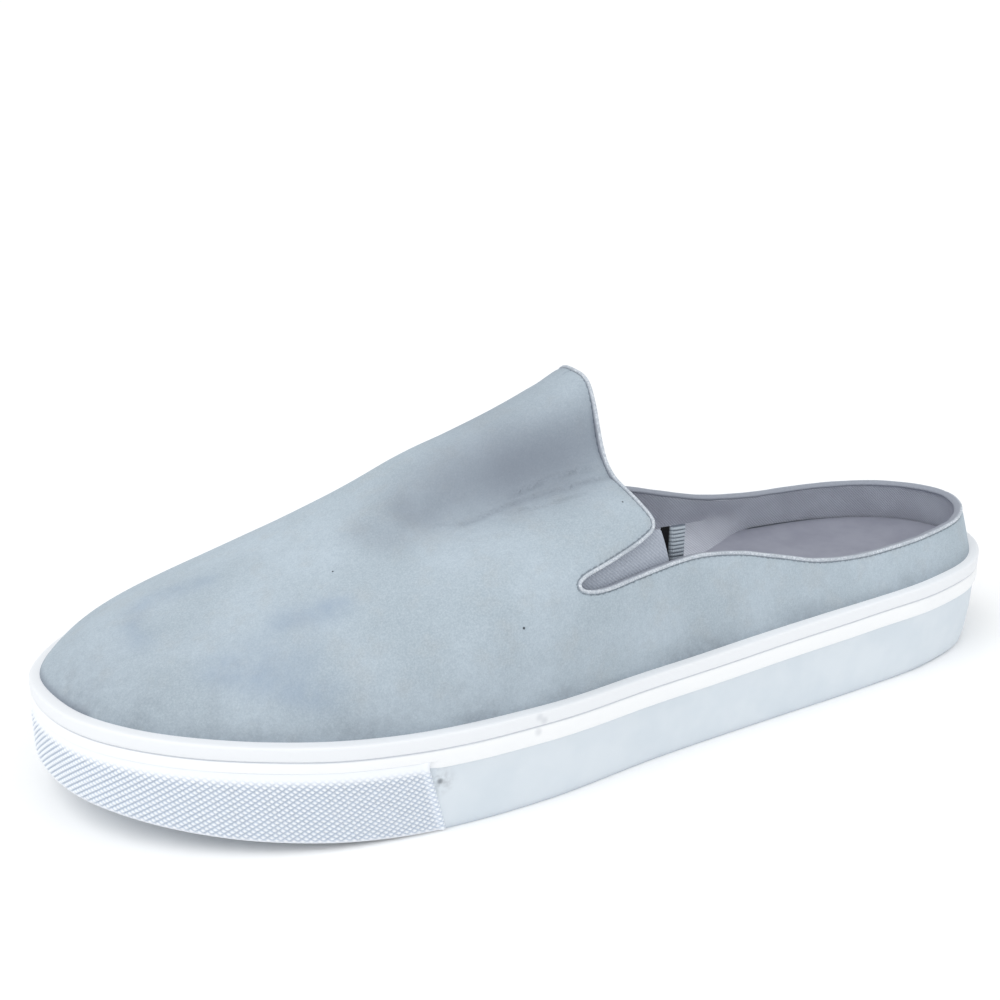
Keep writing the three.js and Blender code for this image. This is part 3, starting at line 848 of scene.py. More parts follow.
# %% Fine wrinkles
WRINKLES = [
    (0.32, [(6.05, 0.7), (6.34, 0.718), (6.62, 0.738), (6.92, 0.748), (7.24, 0.75), (7.61, 0.75)]),
    (0.3, [(6.15, 0.735), (6.4, 0.758), (6.7, 0.772), (6.95, 0.775), (7.2, 0.782)]),
    (0.25, [(6.3, 0.7), (6.52, 0.712), (6.7, 0.725), (6.9, 0.728)]),
    (0.3, [(6.3, 0.67), (6.5, 0.678), (6.75, 0.695), (7.0, 0.712), (7.3, 0.725)]),
    (0.22, [(7.35, 0.735), (7.6, 0.745), (7.85, 0.765), (8.1, 0.77)]),
]
wrinkle_noise = nubuck.remap(nubuck.noise(4, 3, 0.6), 0.35, 0.6, 0.15, 1.0)
for number, (deep, _) in enumerate(WRINKLES):
    away = nubuck.math("ABSOLUTE", nubuck.attribute(f"wrinkle_{number}"))
    here = nubuck.math("MULTIPLY", nubuck.attribute(f"wrinkled_{number}"), wrinkle_noise)
    line = nubuck.math("MULTIPLY", nubuck.remap(away, 0.0, 0.9, 1.0, 0.0), here)
    # painted shade along each wrinkle
    tone = nubuck.blend(nubuck.math("MULTIPLY", line, 0.11), tone, linear(120, 128, 140))
    dip = nubuck.math("MULTIPLY", nubuck.remap(away, 0.0, 1.5, 1.0, 0.0), here)
    nubuck.bump(nubuck.math("SUBTRACT", 1.0, dip), deep * 1.4, 1.0)
nubuck.colour(tone)
GRAIN = [(0.4, 4, 0.75, 0.15, 0.6), (2.4, 3, 0.55, 0.34, 0.4), (9, 2, 0.5, 0.9, 0.35)]
for size, detail, rough, height, strength in GRAIN:
    nubuck.bump(nubuck.noise(size, detail, rough), height, strength)
print("wrinkles:", len(WRINKLES))

# %% [markdown]
# ## The upper
#
# The vamp and quarter are one piece of nubuck, shaped wet over the last. Creases come where the foot
# bends and where the shoe was squeezed: a crease here is a line of points on the last with a depth
# and a width, and it pushes the skin in or out with a soft bell profile. The nubuck is 1.3 mm thick,
# and the lining makes up the rest of the wall.

# %% Creases
NUBUCK_THICKNESS = 1.3
CREASES = [
    (0.9, 9.0, [(6.6, 1.0), (7.4, 1.0), (8.2, 1.0)]),
    (-1.1, 8.0, [(5.9, 0.78), (6.3, 0.79), (6.8, 0.8), (7.26, 0.81), (7.65, 0.82), (8.0, 0.82)]),
    (-0.45, 1.4, [(6.09, 0.705), (6.34, 0.72), (6.62, 0.74), (6.92, 0.75), (7.24, 0.75), (7.61, 0.75)]),
    (0.4, 1.5, [(6.15, 0.68), (6.34, 0.7), (6.62, 0.72), (6.92, 0.735), (7.24, 0.735)]),
    (0.3, 1.2, [(6.48, 0.755), (6.7, 0.765), (6.86, 0.77)]),
    (-0.3, 1.2, [(6.46, 0.71), (6.64, 0.725), (6.82, 0.73)]),
    (-0.25, 1.2, [(6.62, 0.69), (6.8, 0.705), (7.0, 0.715)]),
    (-0.3, 1.3, [(6.19, 0.68), (6.38, 0.685), (6.58, 0.69)]),
    (-0.3, 1.6, [(7.41, 0.75), (7.69, 0.76), (7.97, 0.77)]),
    (-0.8, 3.6, [(8.23, 0.84), (8.11, 0.81), (7.97, 0.8), (7.85, 0.8)]),
    (0.35, 2.2, [(8.3, 0.79), (8.05, 0.775), (7.8, 0.77)]),
    (-0.35, 2.6, [(8.66, 0.82), (8.5, 0.79), (8.37, 0.77)]),
    (-0.5, 7.0, [(19.9, 0.8), (19.3, 0.8), (18.7, 0.82)]),
    (-0.35, 1.6, [(19.8, 0.72), (19.3, 0.74), (18.9, 0.75)]),
]


def on_last(rows):
    places, climbs = np.array(rows, float).T
    return last_point(places, climbs)


def near_line(points, line):
    best = np.full(len(points), np.inf)
    if len(line) == 1:
        return np.linalg.norm(points - line[0], axis=1)
    for a, b in zip(line[:-1], line[1:]):
        side = b - a
        t = np.clip(((points - a) @ side) / max(side @ side, 1e-9), 0, 1)
        best = np.minimum(best, np.linalg.norm(points - a - t[:, None] * side, axis=1))
    return best


def push(points):
    """How far the creases move each point out, in mm."""
    moved = np.zeros(len(points))
    for depth, width, rows in CREASES:
        moved += depth * np.exp(-((near_line(points, on_last(rows)) / width) ** 2))
    return moved


print("creases:", len(CREASES))

# %% [markdown]
# Shades, stains and dirt are placed in the same way, as lines on the last with a strength and
# a width. Dirt gathers along the foot of the upper, so it has its own table: a place on the outline,
# how far it spreads, how strong it is and how high it climbs.

# %% Where the marks are
# painted shade: lines of darker tone in the hollows under the flap, along creases and in the gap between
# nubuck and foxing at the toe
PAINTED_SHADES = [
    (0.62, 11.0, [(5.9, 0.785), (6.3, 0.79), (6.6, 0.8), (6.9, 0.815)]),
    (0.5, 13.0, [(6.6, 0.8), (6.9, 0.82), (7.22, 0.825), (7.57, 0.835)]),
    (0.34, 11.0, [(7.2, 0.82), (7.57, 0.84), (7.93, 0.84), (8.15, 0.84)]),
    (0.3, 4.0, [(8.23, 0.84), (8.11, 0.81), (7.97, 0.8)]),
    (0.25, 5.0, [(8.66, 0.82), (8.5, 0.79), (8.37, 0.77)]),
    (0.8, 1.3, [(11.7, 0.0), (12.2, 0.01), (12.8, 0.01), (13.4, 0.0)]),
    (0.22, 1.1, [(6.09, 0.7), (6.34, 0.715), (6.62, 0.735), (6.92, 0.745), (7.24, 0.745), (7.61, 0.745)]),
    (0.5, 10.0, [(19.9, 0.8), (19.4, 0.8), (18.9, 0.82)]),
]
STAINS = [
    (0.34, 3.6, [(10.92, 0.92), (11.7, 0.93), (12.47, 0.91), (12.33, 0.79), (11.93, 0.69), (11.44, 0.61)]),
    (0.42, 4.2, [(10.19, 0.42), (9.83, 0.37), (9.57, 0.32), (9.32, 0.27), (9.02, 0.24)]),
    (0.4, 4.6, [(9.5, 0.585), (9.32, 0.58), (9.02, 0.58)]),
    (0.3, 2.8, [(9.02, 0.59), (8.88, 0.59)]),
    (0.3, 6.0, [(9.81, 0.46), (9.54, 0.42), (9.28, 0.4)]),
]
DIRT = [
    (11.9, 0.7, 0.5, 7),
    (10.9, 0.35, 0.5, 6),
    (10.13, 0.1, 0.5, 8),
    (9.9, 0.9, 0.6, 4),
    (8.7, 0.45, 0.6, 6.5),
    (7.7, 0.3, 0.65, 4.5),
    (6.9, 0.25, 0.6, 4),
    (5.6, 0.45, 0.85, 5),
    (4.6, 0.35, 0.75, 4.5),
    (3.3, 0.6, 0.6, 4),
    (16.0, 1.2, 0.6, 5),
    (19.0, 0.8, 0.6, 5),
    (22.5, 0.7, 0.5, 4),
]


def marks(points, rows, power=2):
    clear = np.ones(len(points))
    for strength, width, line in rows:
        clear *= 1 - strength * np.exp(-((near_line(points, on_last(line)) / width) ** power))
    return 1 - clear


def edge_dirt_and_darkening(places, height):
    shown = np.zeros(len(places))
    for place, spread, strength, tall in DIRT:
        along = np.exp(-(((places - place) / spread) ** 2))
        shown = np.maximum(shown, 0.7 * strength * along * np.exp(-((height / tall) ** 2)))
    # darker towards the bottom over the toe and outer side, besides the dirt stretches
    darker_low = 0.2 * soft_step(3, 8, places) * soft_step(17, 12, places)
    return 1 - (1 - shown) * (1 - darker_low * np.exp(-((height / 15) ** 2)))


def signed_line(points, normals, rows):
    """Distance from a line, signed by side, and how near a point is to the line's middle part."""
    line = on_last(rows)
    best, side, along = np.full(len(points), np.inf), np.ones(len(points)), np.zeros(len(points))
    total = 0
    for a, b in zip(line[:-1], line[1:]):
        way = b - a
        t = np.clip(((points - a) @ way) / max(way @ way, 1e-9), 0, 1)
        off = points - a - t[:, None] * way
        near = np.linalg.norm(off, axis=1)
        turn = np.sign((np.cross(way, normals) * off).sum(1))
        side = np.where(near < best, turn, side)
        along = np.where(near < best, total + t * np.linalg.norm(way), along)
        best = np.minimum(best, near)
        total += np.linalg.norm(way)
    from_end = np.minimum(along, total - along)
    return side * np.minimum(best, 9), soft_step(4, 2.2, best) * soft_step(0.2, 7, from_end)


print("shades:", len(PAINTED_SHADES), "stains:", len(STAINS), "dirty stretches:", len(DIRT))

# %% [markdown]
# The upper is the net, cut along its edge, pushed in and out by the creases and doubled into a wall.
# Its foot runs on down behind the foxing, as the real one is cemented there, so that no gap shows. A
# cloth simulation could wrinkle it too, but it wouldn't put the creases where the real ones are.

# %% Upper
layers = np.c_[net_normals, upper_keep, flat_places, net_climbs.ravel()]
points, layers, faces = weld(*cut(net_points, layers, net_triangles, upper_keep))
normals = layers[:, :3] / np.linalg.norm(layers[:, :3], axis=1, keepdims=True)
edge_distance, skin_places, skin_climbs = layers[:, 3], layers[:, 4], layers[:, 5]
skin_height = points[:, 2] - foxing_top((OUTSOLE_LENGTH / 2 - points[:, 0]) / OUTSOLE_LENGTH)

SEAM_DEPTH, SEAM_WIDTH = 0.35, 0.9
UNEVENNESS, WAVE = 0.22, 26
sewn = -SEAM_DEPTH * np.exp(-((edge_distance / SEAM_WIDTH) ** 2))
uneven = UNEVENNESS * ripple(points, WAVE, 3) * soft_step(2, 12, edge_distance)
moved = push(points) + sewn + uneven
skin = points + normals * moved[:, None]
inner = points + normals * (np.minimum(moved, 0.2) - NUBUCK_THICKNESS)[:, None]

foot = rim_edges(faces)
foot = foot[(skin_climbs[foot] < 1e-6).all(1)]
low, back_to = np.unique(foot, return_inverse=True)
a, b = (len(points) + back_to.reshape(-1, 2)).T
tuck = np.vstack([np.c_[foot[:, 1], foot[:, 0], a], np.c_[foot[:, 1], a, b]])
drop = np.array([0, 0, -UPPER_TUCK])
rim = rim_edges(faces)
skin, inner = np.vstack([skin, skin[low] + drop]), np.vstack([inner, inner[low] + drop])
upper_faces = thicken(np.vstack([faces, tuck]), len(skin))


def to_all(values):
    values = np.r_[values, values[low]]
    return np.r_[values, values]


near_rim = edge_distance < 4
rim_path = points[max(loops(rim)[-2:], key=lambda found: points[found, 2].mean())]
rim_run = np.r_[0, np.cumsum(np.linalg.norm(np.diff(rim_path, axis=0), axis=1))]
run_at = np.zeros(len(points))
offsets = ((points[near_rim, None, :] - rim_path[None, :, :]) ** 2).sum(2)
run_at[near_rim] = rim_run[offsets.argmin(1)]
# dirt, and a darker strip just above the foxing
dirt_and_darkening_here = np.maximum(edge_dirt_and_darkening(skin_places, skin_height), 0.38 * np.exp(-((skin_height / 2.6) ** 2)))
wrinkle_lines = [signed_line(points, normals, rows) for _, rows in WRINKLES]
upper = make_piece(
    "nubuck_upper",
    "upper",
    np.vstack([skin, inner]),
    upper_faces,
    [nubuck.material],
    layers={
        "painted_shade": to_all(marks(points, PAINTED_SHADES)),
        "stain": to_all(marks(points, STAINS)),
        "dirt_and_darkening": to_all(dirt_and_darkening_here),
        "edge": to_all(np.minimum(edge_distance, 20)),
        **{f"wrinkle_{k}": to_all(line) for k, (line, _) in enumerate(wrinkle_lines)},
        **{f"wrinkled_{k}": to_all(share) for k, (_, share) in enumerate(wrinkle_lines)},
        "run": to_all(run_at),
    },
)

# %% [markdown]
# ## The binding
#
# A strip of twill is rolled over the raw edge and stitched down, which leaves a narrow, pale roll along
# the topline, the notch and the flap. Its outer side is frayed and light, and its inner side is painted
# darker, near the tone of the lining, as painted shade inside the shoe.

# %% Binding finish
binding_finish = Finish("binding", linear(205, 213, 221), 0.85, 0.2)
weave = binding_finish.stripes(0.45, (1, -1, 1))
fray = binding_finish.remap(binding_finish.noise(0.5, 3, 0.7), 0.4, 0.62)
tone = binding_finish.blend(fray, linear(190, 198, 207), linear(226, 231, 237))
tone = binding_finish.mottle(tone, linear(172, 180, 189), 6, 0.42, 0.72, 0.6, 4)
# painted shade: the inner side of the roll is painted darker, near the lining's tone
binding_finish.colour(binding_finish.blend(binding_finish.attribute("painted_inner_shade"), tone, linear(158, 163, 174)))
binding_finish.bump(weave, 0.06, 0.5)
binding_finish.bump(fray, 0.12, 0.6)
print("finish:", binding_finish.material.name)

# %% [markdown]
# It is swept along the cut edge of the upper: at each step a rounded section is set square to the
# edge. A curve with a bevel would do the same, but it twists where the edge turns sharply, and here
# the leather's own direction keeps the section upright.

# %% Collar binding
loop = max(loops(rim)[-2:], key=lambda found: points[found, 2].mean())
path, path_normals = points[loop], normals[loop]
length = np.r_[0, np.cumsum(np.linalg.norm(np.diff(np.vstack([path, path[:1]]), axis=0), axis=1))]
BINDING_STEPS = 900


def around_path(values, blur):
    at = np.linspace(0, length[-1], BINDING_STEPS, endpoint=False)
    closed = np.vstack([values, values[:1]])
    even = np.stack([np.interp(at, length, closed[:, k]) for k in range(values.shape[1])], 1)
    for _ in range(blur):
        even = (np.roll(even, 1, 0) + 2 * even + np.roll(even, -1, 0)) / 4
    return even


spine = around_path(path, 3)
spine_out = around_path(path_normals, 12)
spine_out /= np.linalg.norm(spine_out, axis=1, keepdims=True)
ahead = np.roll(spine, -1, 0) - np.roll(spine, 1, 0)
ahead /= np.linalg.norm(ahead, axis=1, keepdims=True)
spine_off = np.cross(ahead, spine_out)
spine_off /= np.linalg.norm(spine_off, axis=1, keepdims=True)
if (spine_off[np.argmin(spine[:, 2])] @ np.array([0, 0, 1.0])) < 0:
    spine_off = -spine_off
print("edge loop:", len(loop), "points,", round(float(length[-1])), "mm")

AROUND = 22
angles = np.linspace(0, 2 * math.pi, AROUND, endpoint=False)
swell = 1 + 0.05 * np.sin(np.arange(BINDING_STEPS) * 0.31) * np.sin(np.arange(BINDING_STEPS) * 0.083)


def rounded(value, power):
    return np.sign(value) * np.abs(value) ** (2 / power)


ROLL_OVER_EDGE, ROLL_HALF_WIDTH = 0.38, 0.56
ROLL_UNDER_FACE, ROLL_HALF_DEPTH = 1.12, 1.26
section_off = ROLL_OVER_EDGE + ROLL_HALF_WIDTH * rounded(np.cos(angles), 2.5)
section_out = -ROLL_UNDER_FACE + ROLL_HALF_DEPTH * rounded(np.sin(angles), 2.6)
binding_points = (
    spine[:, None, :]
    + spine_off[:, None, :] * (section_off[None, :, None] * swell[:, None, None])
    + spine_out[:, None, :] * (section_out[None, :, None] * swell[:, None, None])
)
rings = list(binding_points)
binding_quads = loft(rings, True)
binding = make_piece(
    "rolled_binding",
    "collar_binding",
    binding_points.reshape(-1, 3),
    tidy_quads(binding_quads),
    [binding_finish.material],
    layers={"painted_inner_shade": np.tile(soft_step(0.05, -0.7, section_out), BINDING_STEPS)},
)

# %% [markdown]
# ## Lining and gores
#
# The lining is a separate twill, cut like the upper and glued inside it. Its diagonal ribs are counted
# along the outline and up the wall, so they stay even where the wall turns.

# %% Lining finish
TWILL_RIB = 0.95
lining_finish = Finish("lining", linear(158, 163, 175), 0.9, 0.15)
up_wall = lining_finish.add("ShaderNodeSeparateXYZ", Vector=lining_finish.place).outputs["Z"]
slant = lining_finish.math("MULTIPLY_ADD", up_wall, 1000.0, lining_finish.attribute("along"))
twill = lining_finish.math("SINE", lining_finish.math("MULTIPLY", slant, 2 * math.pi / TWILL_RIB))
tone = lining_finish.blend(
    lining_finish.remap(twill, -0.6, 0.9, 0.0, 0.55), linear(184, 188, 199), linear(218, 222, 230)
)
lining_finish.colour(lining_finish.mottle(tone, linear(160, 162, 174), 12, 0.35, 0.7, 0.35))
lining_finish.bump(twill, 0.1, 0.6)
lining_finish.bump(lining_finish.noise(0.3, 3, 0.7), 0.06, 0.5)
print("finish:", lining_finish.material.name)

# %% [markdown]
# The lining lies under the nubuck, follows its dents, and hangs free on the inner side, where it folds
# out over the insole. That fold is a broad swelling of the same patch.

# %% Lining
LINING_THICKNESS = 0.8
LINING_COLUMNS, LINING_ROWS = 201, 50
lining_places, lining_climbs = net(LINING_COLUMNS, LINING_ROWS)
lining_net = last_point(lining_places, lining_climbs).reshape(-1, 3)
lining_normals = last_normal(lining_places, lining_climbs).reshape(-1, 3)
lining_flat = lining_places.ravel()
way_round = outline(lining_places[:, 0], FOXING_THICKNESS + GAP)[:2]
way_run = np.r_[0, np.cumsum(np.hypot(*(np.diff(part) for part in way_round)))]
lining_run = np.where(lining_flat > TOE, -1, 1) * np.repeat(way_run, 2 * LINING_ROWS + 1)
lining_layers = np.c_[lining_normals, lining_run]


def patch(keep, outside, thickness, bulge=None):
    """A wall that follows the last, cut by keep, lying under it from outside to outside + thickness."""
    found, extra, skins = weld(
        *cut(lining_net, lining_layers, net_faces(LINING_COLUMNS, LINING_ROWS), keep)
    )
    flow, extra = extra[:, 3], extra[:, :3]
    extra = extra / np.linalg.norm(extra, axis=1, keepdims=True)
    shift = np.zeros(len(found)) if bulge is None else bulge(found)
    outer = found - extra * (outside + shift)[:, None]
    inner = outer - extra * thickness
    solid = thicken(skins, len(found))
    return np.vstack([outer, inner]), solid, np.tile(flow, 2)


lining_keep = upper_measure(lining_net, lining_flat, LINING_ROWS)
FOLD_REACH = 19


def lining_bulge(found):
    moved = np.maximum(0, -push(found))
    share = (OUTSOLE_LENGTH / 2 - found[:, 0]) / OUTSOLE_LENGTH
    height = found[:, 2] - foxing_top(share)
    medial = soft_step(5, 15, found[:, 1])
    moved += FOLD_REACH * medial * soft_step(0.2, 0.34, share) * soft_step(6.5, -1.5, height)
    moved += 0.5 * ripple(found, 30, 8) * soft_step(0, 10, height) * soft_step(0.5, 0.4, share)
    return moved


lining_points, lining_solid, lining_flow = patch(
    lining_keep, NUBUCK_THICKNESS + 0.05, LINING_THICKNESS, lining_bulge
)
make_piece(
    "twill_lining",
    None,
    lining_points,
    lining_solid,
    [lining_finish.material],
    layers={"along": lining_flow},
)

# %% [markdown]
# Elastic gores sit behind the notches so that the opening can stretch. Each is a small patch of the
# last, cut by a closed line in the side view, with a fine diagonal rib.

# %% Gores
gore_finish = Finish("gore", linear(160, 168, 179), 0.9, 0.15)
weft = gore_finish.stripes(0.7, (1, 0, 1))
tone = gore_finish.blend(
    gore_finish.remap(weft, -0.5, 0.9, 0.0, 0.45), linear(170, 177, 189), linear(200, 206, 216)
)
gore_finish.colour(gore_finish.mottle(tone, linear(146, 153, 166), 0.5, 0.4, 0.65, 0.4, 3, 0.7))
gore_finish.bump(weft, 0.07, 0.5)

GORE_LINE = table(
    "share rise",
    (0.452, 0.18),
    (0.46, 0.37),
    (0.5, 0.39),
    (0.55, 0.38),
    (0.6, 0.3),
    (0.56, 0.2),
    (0.5, 0.17),
)
GORE_THICKNESS = 1.3


def gore_distance(points, medial):
    line = side_points(GORE_LINE, medial)
    near = distance_to_line(points[:, [0, 2]], np.vstack([line, line[:1]]))
    return np.where(inside_polygon(points[:, [0, 2]], line), near, -near)


for medial in (False, True):
    side = "medial" if medial else "lateral"
    keep = gore_distance(lining_net, medial)
    keep[(lining_flat > TOE) != medial] = -5
    gore_points, gore_solid, _ = patch(keep, UPPER_WALL + GAP, GORE_THICKNESS)
    names = f"elastic_gore_{side}", f"gore_{side}"
    gore = make_piece(*names, gore_points, gore_solid, [gore_finish.material])

# %% [markdown]
# The tape is a narrow woven elastic: its rubber cores make round ribs across it, one over the other.
# It is a flat grid bent into ribs, and the valleys between the ribs are painted darker as painted
# shade. Beside it lies a recessed strip painted near black, a painted shadow for the slot between
# tape and gore.

# %% Elastic tapes
tape_finish = Finish("tape", linear(152, 168, 184), 0.85, 0.2)
# painted shade: the valleys between the ribs are painted darker
tone = tape_finish.blend(tape_finish.attribute("painted_valley_shade"), linear(172, 181, 190), linear(98, 106, 118))
# painted shadow: the recessed strip beside the ribs is painted near black for the slot between tape and gore
tape_finish.colour(tape_finish.blend(tape_finish.attribute("painted_slot_shadow"), tone, linear(14, 15, 18)))
tape_finish.bump(tape_finish.stripes(0.5, (1, 0, 0)), 0.08, 0.6)
TAPE_WIDTH, TAPE_HEIGHT, TAPE_THICKNESS = 4.2, 16.5, 1.0
TAPE_RIBS, TAPE_RIB = 14, 0.3
TAPE_SHARE, TAPE_RISE, TAPE_SETBACK = 0.449, 0.205, 8.7
SLOT_WIDTH, TAPE_SHIFT, TAPE_TUCK = 2.7, 1.3, 2.2

for side, turn in (("lateral", -1), ("medial", 1)):
    heights = np.linspace(0, TAPE_HEIGHT - TAPE_TUCK, TAPE_RIBS * 8 + 1)
    rib = np.abs(np.sin(heights / heights[-1] * TAPE_RIBS * math.pi))
    depth = TAPE_THICKNESS / 2 + TAPE_RIB * rib**0.7
    widths = np.linspace(-1, 1, 13)
    round_off = (1 - np.abs(widths) ** 6) ** 0.5
    slot_edges = TAPE_WIDTH / 2 + SLOT_WIDTH * np.array([0.15, 1])
    offsets = np.r_[widths * TAPE_WIDTH / 2, slot_edges] - TAPE_SHIFT
    recess = np.r_[round_off * 0 + 1, -0.4, -0.4]
    wide, high = np.meshgrid(offsets, heights, indexing="ij")
    round_off = np.r_[round_off, 1, 1][:, None]
    front = np.where(recess[:, None] > 0, depth[None, :] * (0.25 + 0.75 * round_off), -0.2)
    rear = -TAPE_THICKNESS / 2 * (0.25 + 0.75 * round_off) * np.ones_like(front)
    across = read(OUTLINE, side, TAPE_SHARE) * BALL_WIDTH - FOXING_THICKNESS - GAP - TAPE_SETBACK
    foot = foxing_top(TAPE_SHARE) + TAPE_RISE * INSTEP_HEIGHT
    middle_along = TAPE_SHARE * OUTSOLE_LENGTH
    sheets = [
        to_world(middle_along + wide, turn * (across + face), foot + high).reshape(-1, 3)
        for face in (front, rear)
    ]
    grid = np.arange(wide.size).reshape(wide.shape)
    a, b, c, d = grid[:-1, :-1], grid[1:, :-1], grid[1:, 1:], grid[:-1, 1:]
    quads = np.stack([a, b, c, d], -1).reshape(-1, 4)
    border = np.r_[grid[:, 0], grid[-1, 1:], grid[:-1, -1][::-1], grid[0, 1:-1][::-1]]
    onward = np.roll(border, -1)
    walls = np.stack([border, onward, onward + wide.size, border + wide.size], -1)
    solid = np.vstack([quads[:, ::-1], quads + wide.size, walls])
    if turn < 0:
        solid = solid[:, ::-1]
    # painted shade in the rib valleys, and the painted shadow of the slot strip
    painted_valley_shade = soft_step(0.75, 0.1, rib)
    slot_shadow_paint = np.tile(np.repeat((recess < 0) * 1.0, len(heights)), 2)
    tape = make_piece(
        f"ribbed_tape_{side}",
        f"gore_tape_{side}",
        np.vstack(sheets),
        solid,
        [tape_finish.material],
        layers={"painted_slot_shadow": slot_shadow_paint, "painted_valley_shade": np.tile(painted_valley_shade, 2 * len(offsets))},
    )

# %% [markdown]
# ## The insole
#
# A foam board covered with smooth synthetic, die cut and dropped into the shoe. Its edge is rolled
# up a little and its top dips toward the middle from wear.

# %% Insole
insole_finish = Finish("insole", linear(163, 165, 178), 0.7, 0.25)
insole_finish.colour(insole_finish.mottle(linear(150, 152, 164), linear(134, 136, 149), 14, 0.35, 0.7, 0.6))
insole_finish.bump(insole_finish.noise(0.6, 3, 0.6), 0.08, 0.5)
INSOLE_THICKNESS = 4.8
INSOLE_ROWS = [(0, 0), (-0.35, 0.4), (-0.35, 0.8), (0, 0.94), (0.8, 1), (3, 0.98), (5.5, 0.9), (9, 0.84)]
places = ring_places(161)


def insole_ring(inset, height):
    along, across, share = outline(places, FOXING_THICKNESS + UPPER_WALL + GAP * 2 + inset)
    thick = INSOLE_THICKNESS * (1 - 0.3 * np.minimum(share * 1.6, 1))
    return to_world(along, across, foxing_top(share) - UPPER_TUCK + thick * height)


insole_points, insole_faces = capped_loft([insole_ring(*row) for row in INSOLE_ROWS], 30, 12)
insole = make_piece(
    "soft_insole",
    "insole",
    insole_points,
    np.vstack(insole_faces),
    [insole_finish.material],
    sharp=60,
)

# %% [markdown]
# ## Foxing, sole and bumper
#
# The foxing is a rubber strip wrapped round the upper and the sole, with a flat band above a thin
# groove and a rounder band under it, and its ends overlap in a slanted splice. The bumper is a second
# strip round the toe with raised diamonds, pressed over the lower band.

# %% Foxing finish
SPLICES = [(-32.5, -48.9, 24.2), (-31.2, -48.9, 23.0), (-32.8, -49.1, 20.4)]
foxing_finish = Finish("foxing", linear(243, 246, 250), 0.5, 0.4)
tone = foxing_finish.mottle(linear(247, 248, 249), linear(239, 241, 244), 16, 0.4, 0.75, 0.3)
tone = foxing_finish.blend(foxing_finish.attribute("upper_band"), tone, linear(238, 240, 243))
# painted shade: the groove between the bands is painted darker
tone = foxing_finish.blend(foxing_finish.attribute("painted_groove_shade"), tone, linear(206, 211, 219))
for spot in SPLICES:
    mark = foxing_finish.math("MULTIPLY", foxing_finish.near(spot, 0.2, 1.5), 0.24)
    tone = foxing_finish.blend(mark, tone, linear(150, 156, 168))
foxing_finish.colour(tone)
foxing_finish.bump(foxing_finish.noise(0.8, 3, 0.6), 0.05, 0.4)
foxing_finish.bump(foxing_finish.noise(7, 2, 0.5), 0.3, 0.25)
print("finish:", foxing_finish.material.name)

# %% [markdown]
# The band is one closed loft. Each row of its section says how far it is set in from the outline and
# how far it lies under the top: the flat upper band, the groove, and the rounder rib below. Under the
# bumper the lower rows are tucked in to make room.

# %% Foxing band
BUMPER_LATERAL, BUMPER_MEDIAL, BUMPER_SLANT = 8.02, 17.98, 0.15
BUMPER_OVERLAP, BUMPER_THICKNESS, BUMPER_SETBACK = 2.4, 1.2, 0.15
UPPER_BAND_END, GROOVE_MIDDLE, GROOVE_REACH, BUMPER_ROOM = 3.65, 3.82, 0.14, 1.7
FOXING_ROWS = [
    (3.1, -0.05),
    (1.2, -0.02),
    (0.6, 0.02),
    (0.3, 0.14),
    (0.17, 0.36),
    (0.14, 0.8),
    (0.12, 2.0),
    (0.15, 3.1),
    (0.22, 3.44),
    (0.42, 3.62),
    (0.62, 3.7),
    (0.66, 3.82),
    (0.56, 3.94),
    (0.34, 4.1),
    (0.2, 4.4),
    (0.08, 5.0),
    (0, 5.9),
    (0.01, 6.28),
    (-0.02, 6.8),
    (0.02, 7.4),
    (0.12, 8.0),
    (0.26, 8.36),
    (0.5, 8.56),
    (0.9, 8.6),
    (3.1, 8.6),
]
places = ring_places(331)
rings = []
wave = 0.05 * np.sin(places * 2.1) + 0.04 * np.sin(places * 5.3 + 1)
in_bumper = soft_step(BUMPER_LATERAL + 0.05, BUMPER_LATERAL + 0.2, places) * soft_step(
    BUMPER_MEDIAL - 0.05, BUMPER_MEDIAL - 0.2, places
)
for inset, drop in FOXING_ROWS:
    tucked = np.where(drop > FOXING_HEIGHT - BUMPER_OVERLAP + 0.1, in_bumper, 0)
    inset_here = inset + tucked * np.maximum(0, BUMPER_ROOM - inset)
    along, across, share = outline(places, inset_here)
    rings.append(to_world(along, across, foxing_top(share) - drop + wave * min(drop, 1)))
foxing_points = np.vstack(rings)
around = len(places)
drops = np.repeat([row[1] for row in FOXING_ROWS], around)
foxing = make_piece(
    "rubber_foxing",
    "foxing_band",
    foxing_points,
    tidy_quads(loft(rings, True)),
    [foxing_finish.material],
    layers={
        "painted_groove_shade": np.exp(-(((drops - GROOVE_MIDDLE) / GROOVE_REACH) ** 4)),
        "upper_band": (drops < UPPER_BAND_END) * 1.0,
    },
    sharp=50,
)

# %% [markdown]
# The sole is moulded rubber, a duller and slightly bluer white than the bands. Its side leans in at the
# heel, a scuff sits behind the bumper's end, and the tread underneath is a fine pattern in bump, since
# it is never seen from the side. Just above the ground the wall is painted darker, as painted shade.

# %% Sole finishes
SCUFF = (-58.2, -49.4, 13.5)
wall_finish = Finish("wall", linear(222, 230, 239), 0.6, 0.35)
tone = wall_finish.mottle(linear(220, 227, 233), linear(206, 216, 224), 18, 0.35, 0.7, 0.5)
broken = wall_finish.remap(wall_finish.noise(1.5, 3), 0.3, 0.7)
halo = wall_finish.math("MULTIPLY", wall_finish.near(SCUFF, 0.5, 5.0), broken)
tone = wall_finish.blend(wall_finish.math("MULTIPLY", halo, 0.4), tone, linear(120, 124, 130))
core = wall_finish.math("MULTIPLY", wall_finish.near(SCUFF, 0.2, 1.0), 0.7)
tone = wall_finish.blend(core, tone, linear(96, 100, 107))
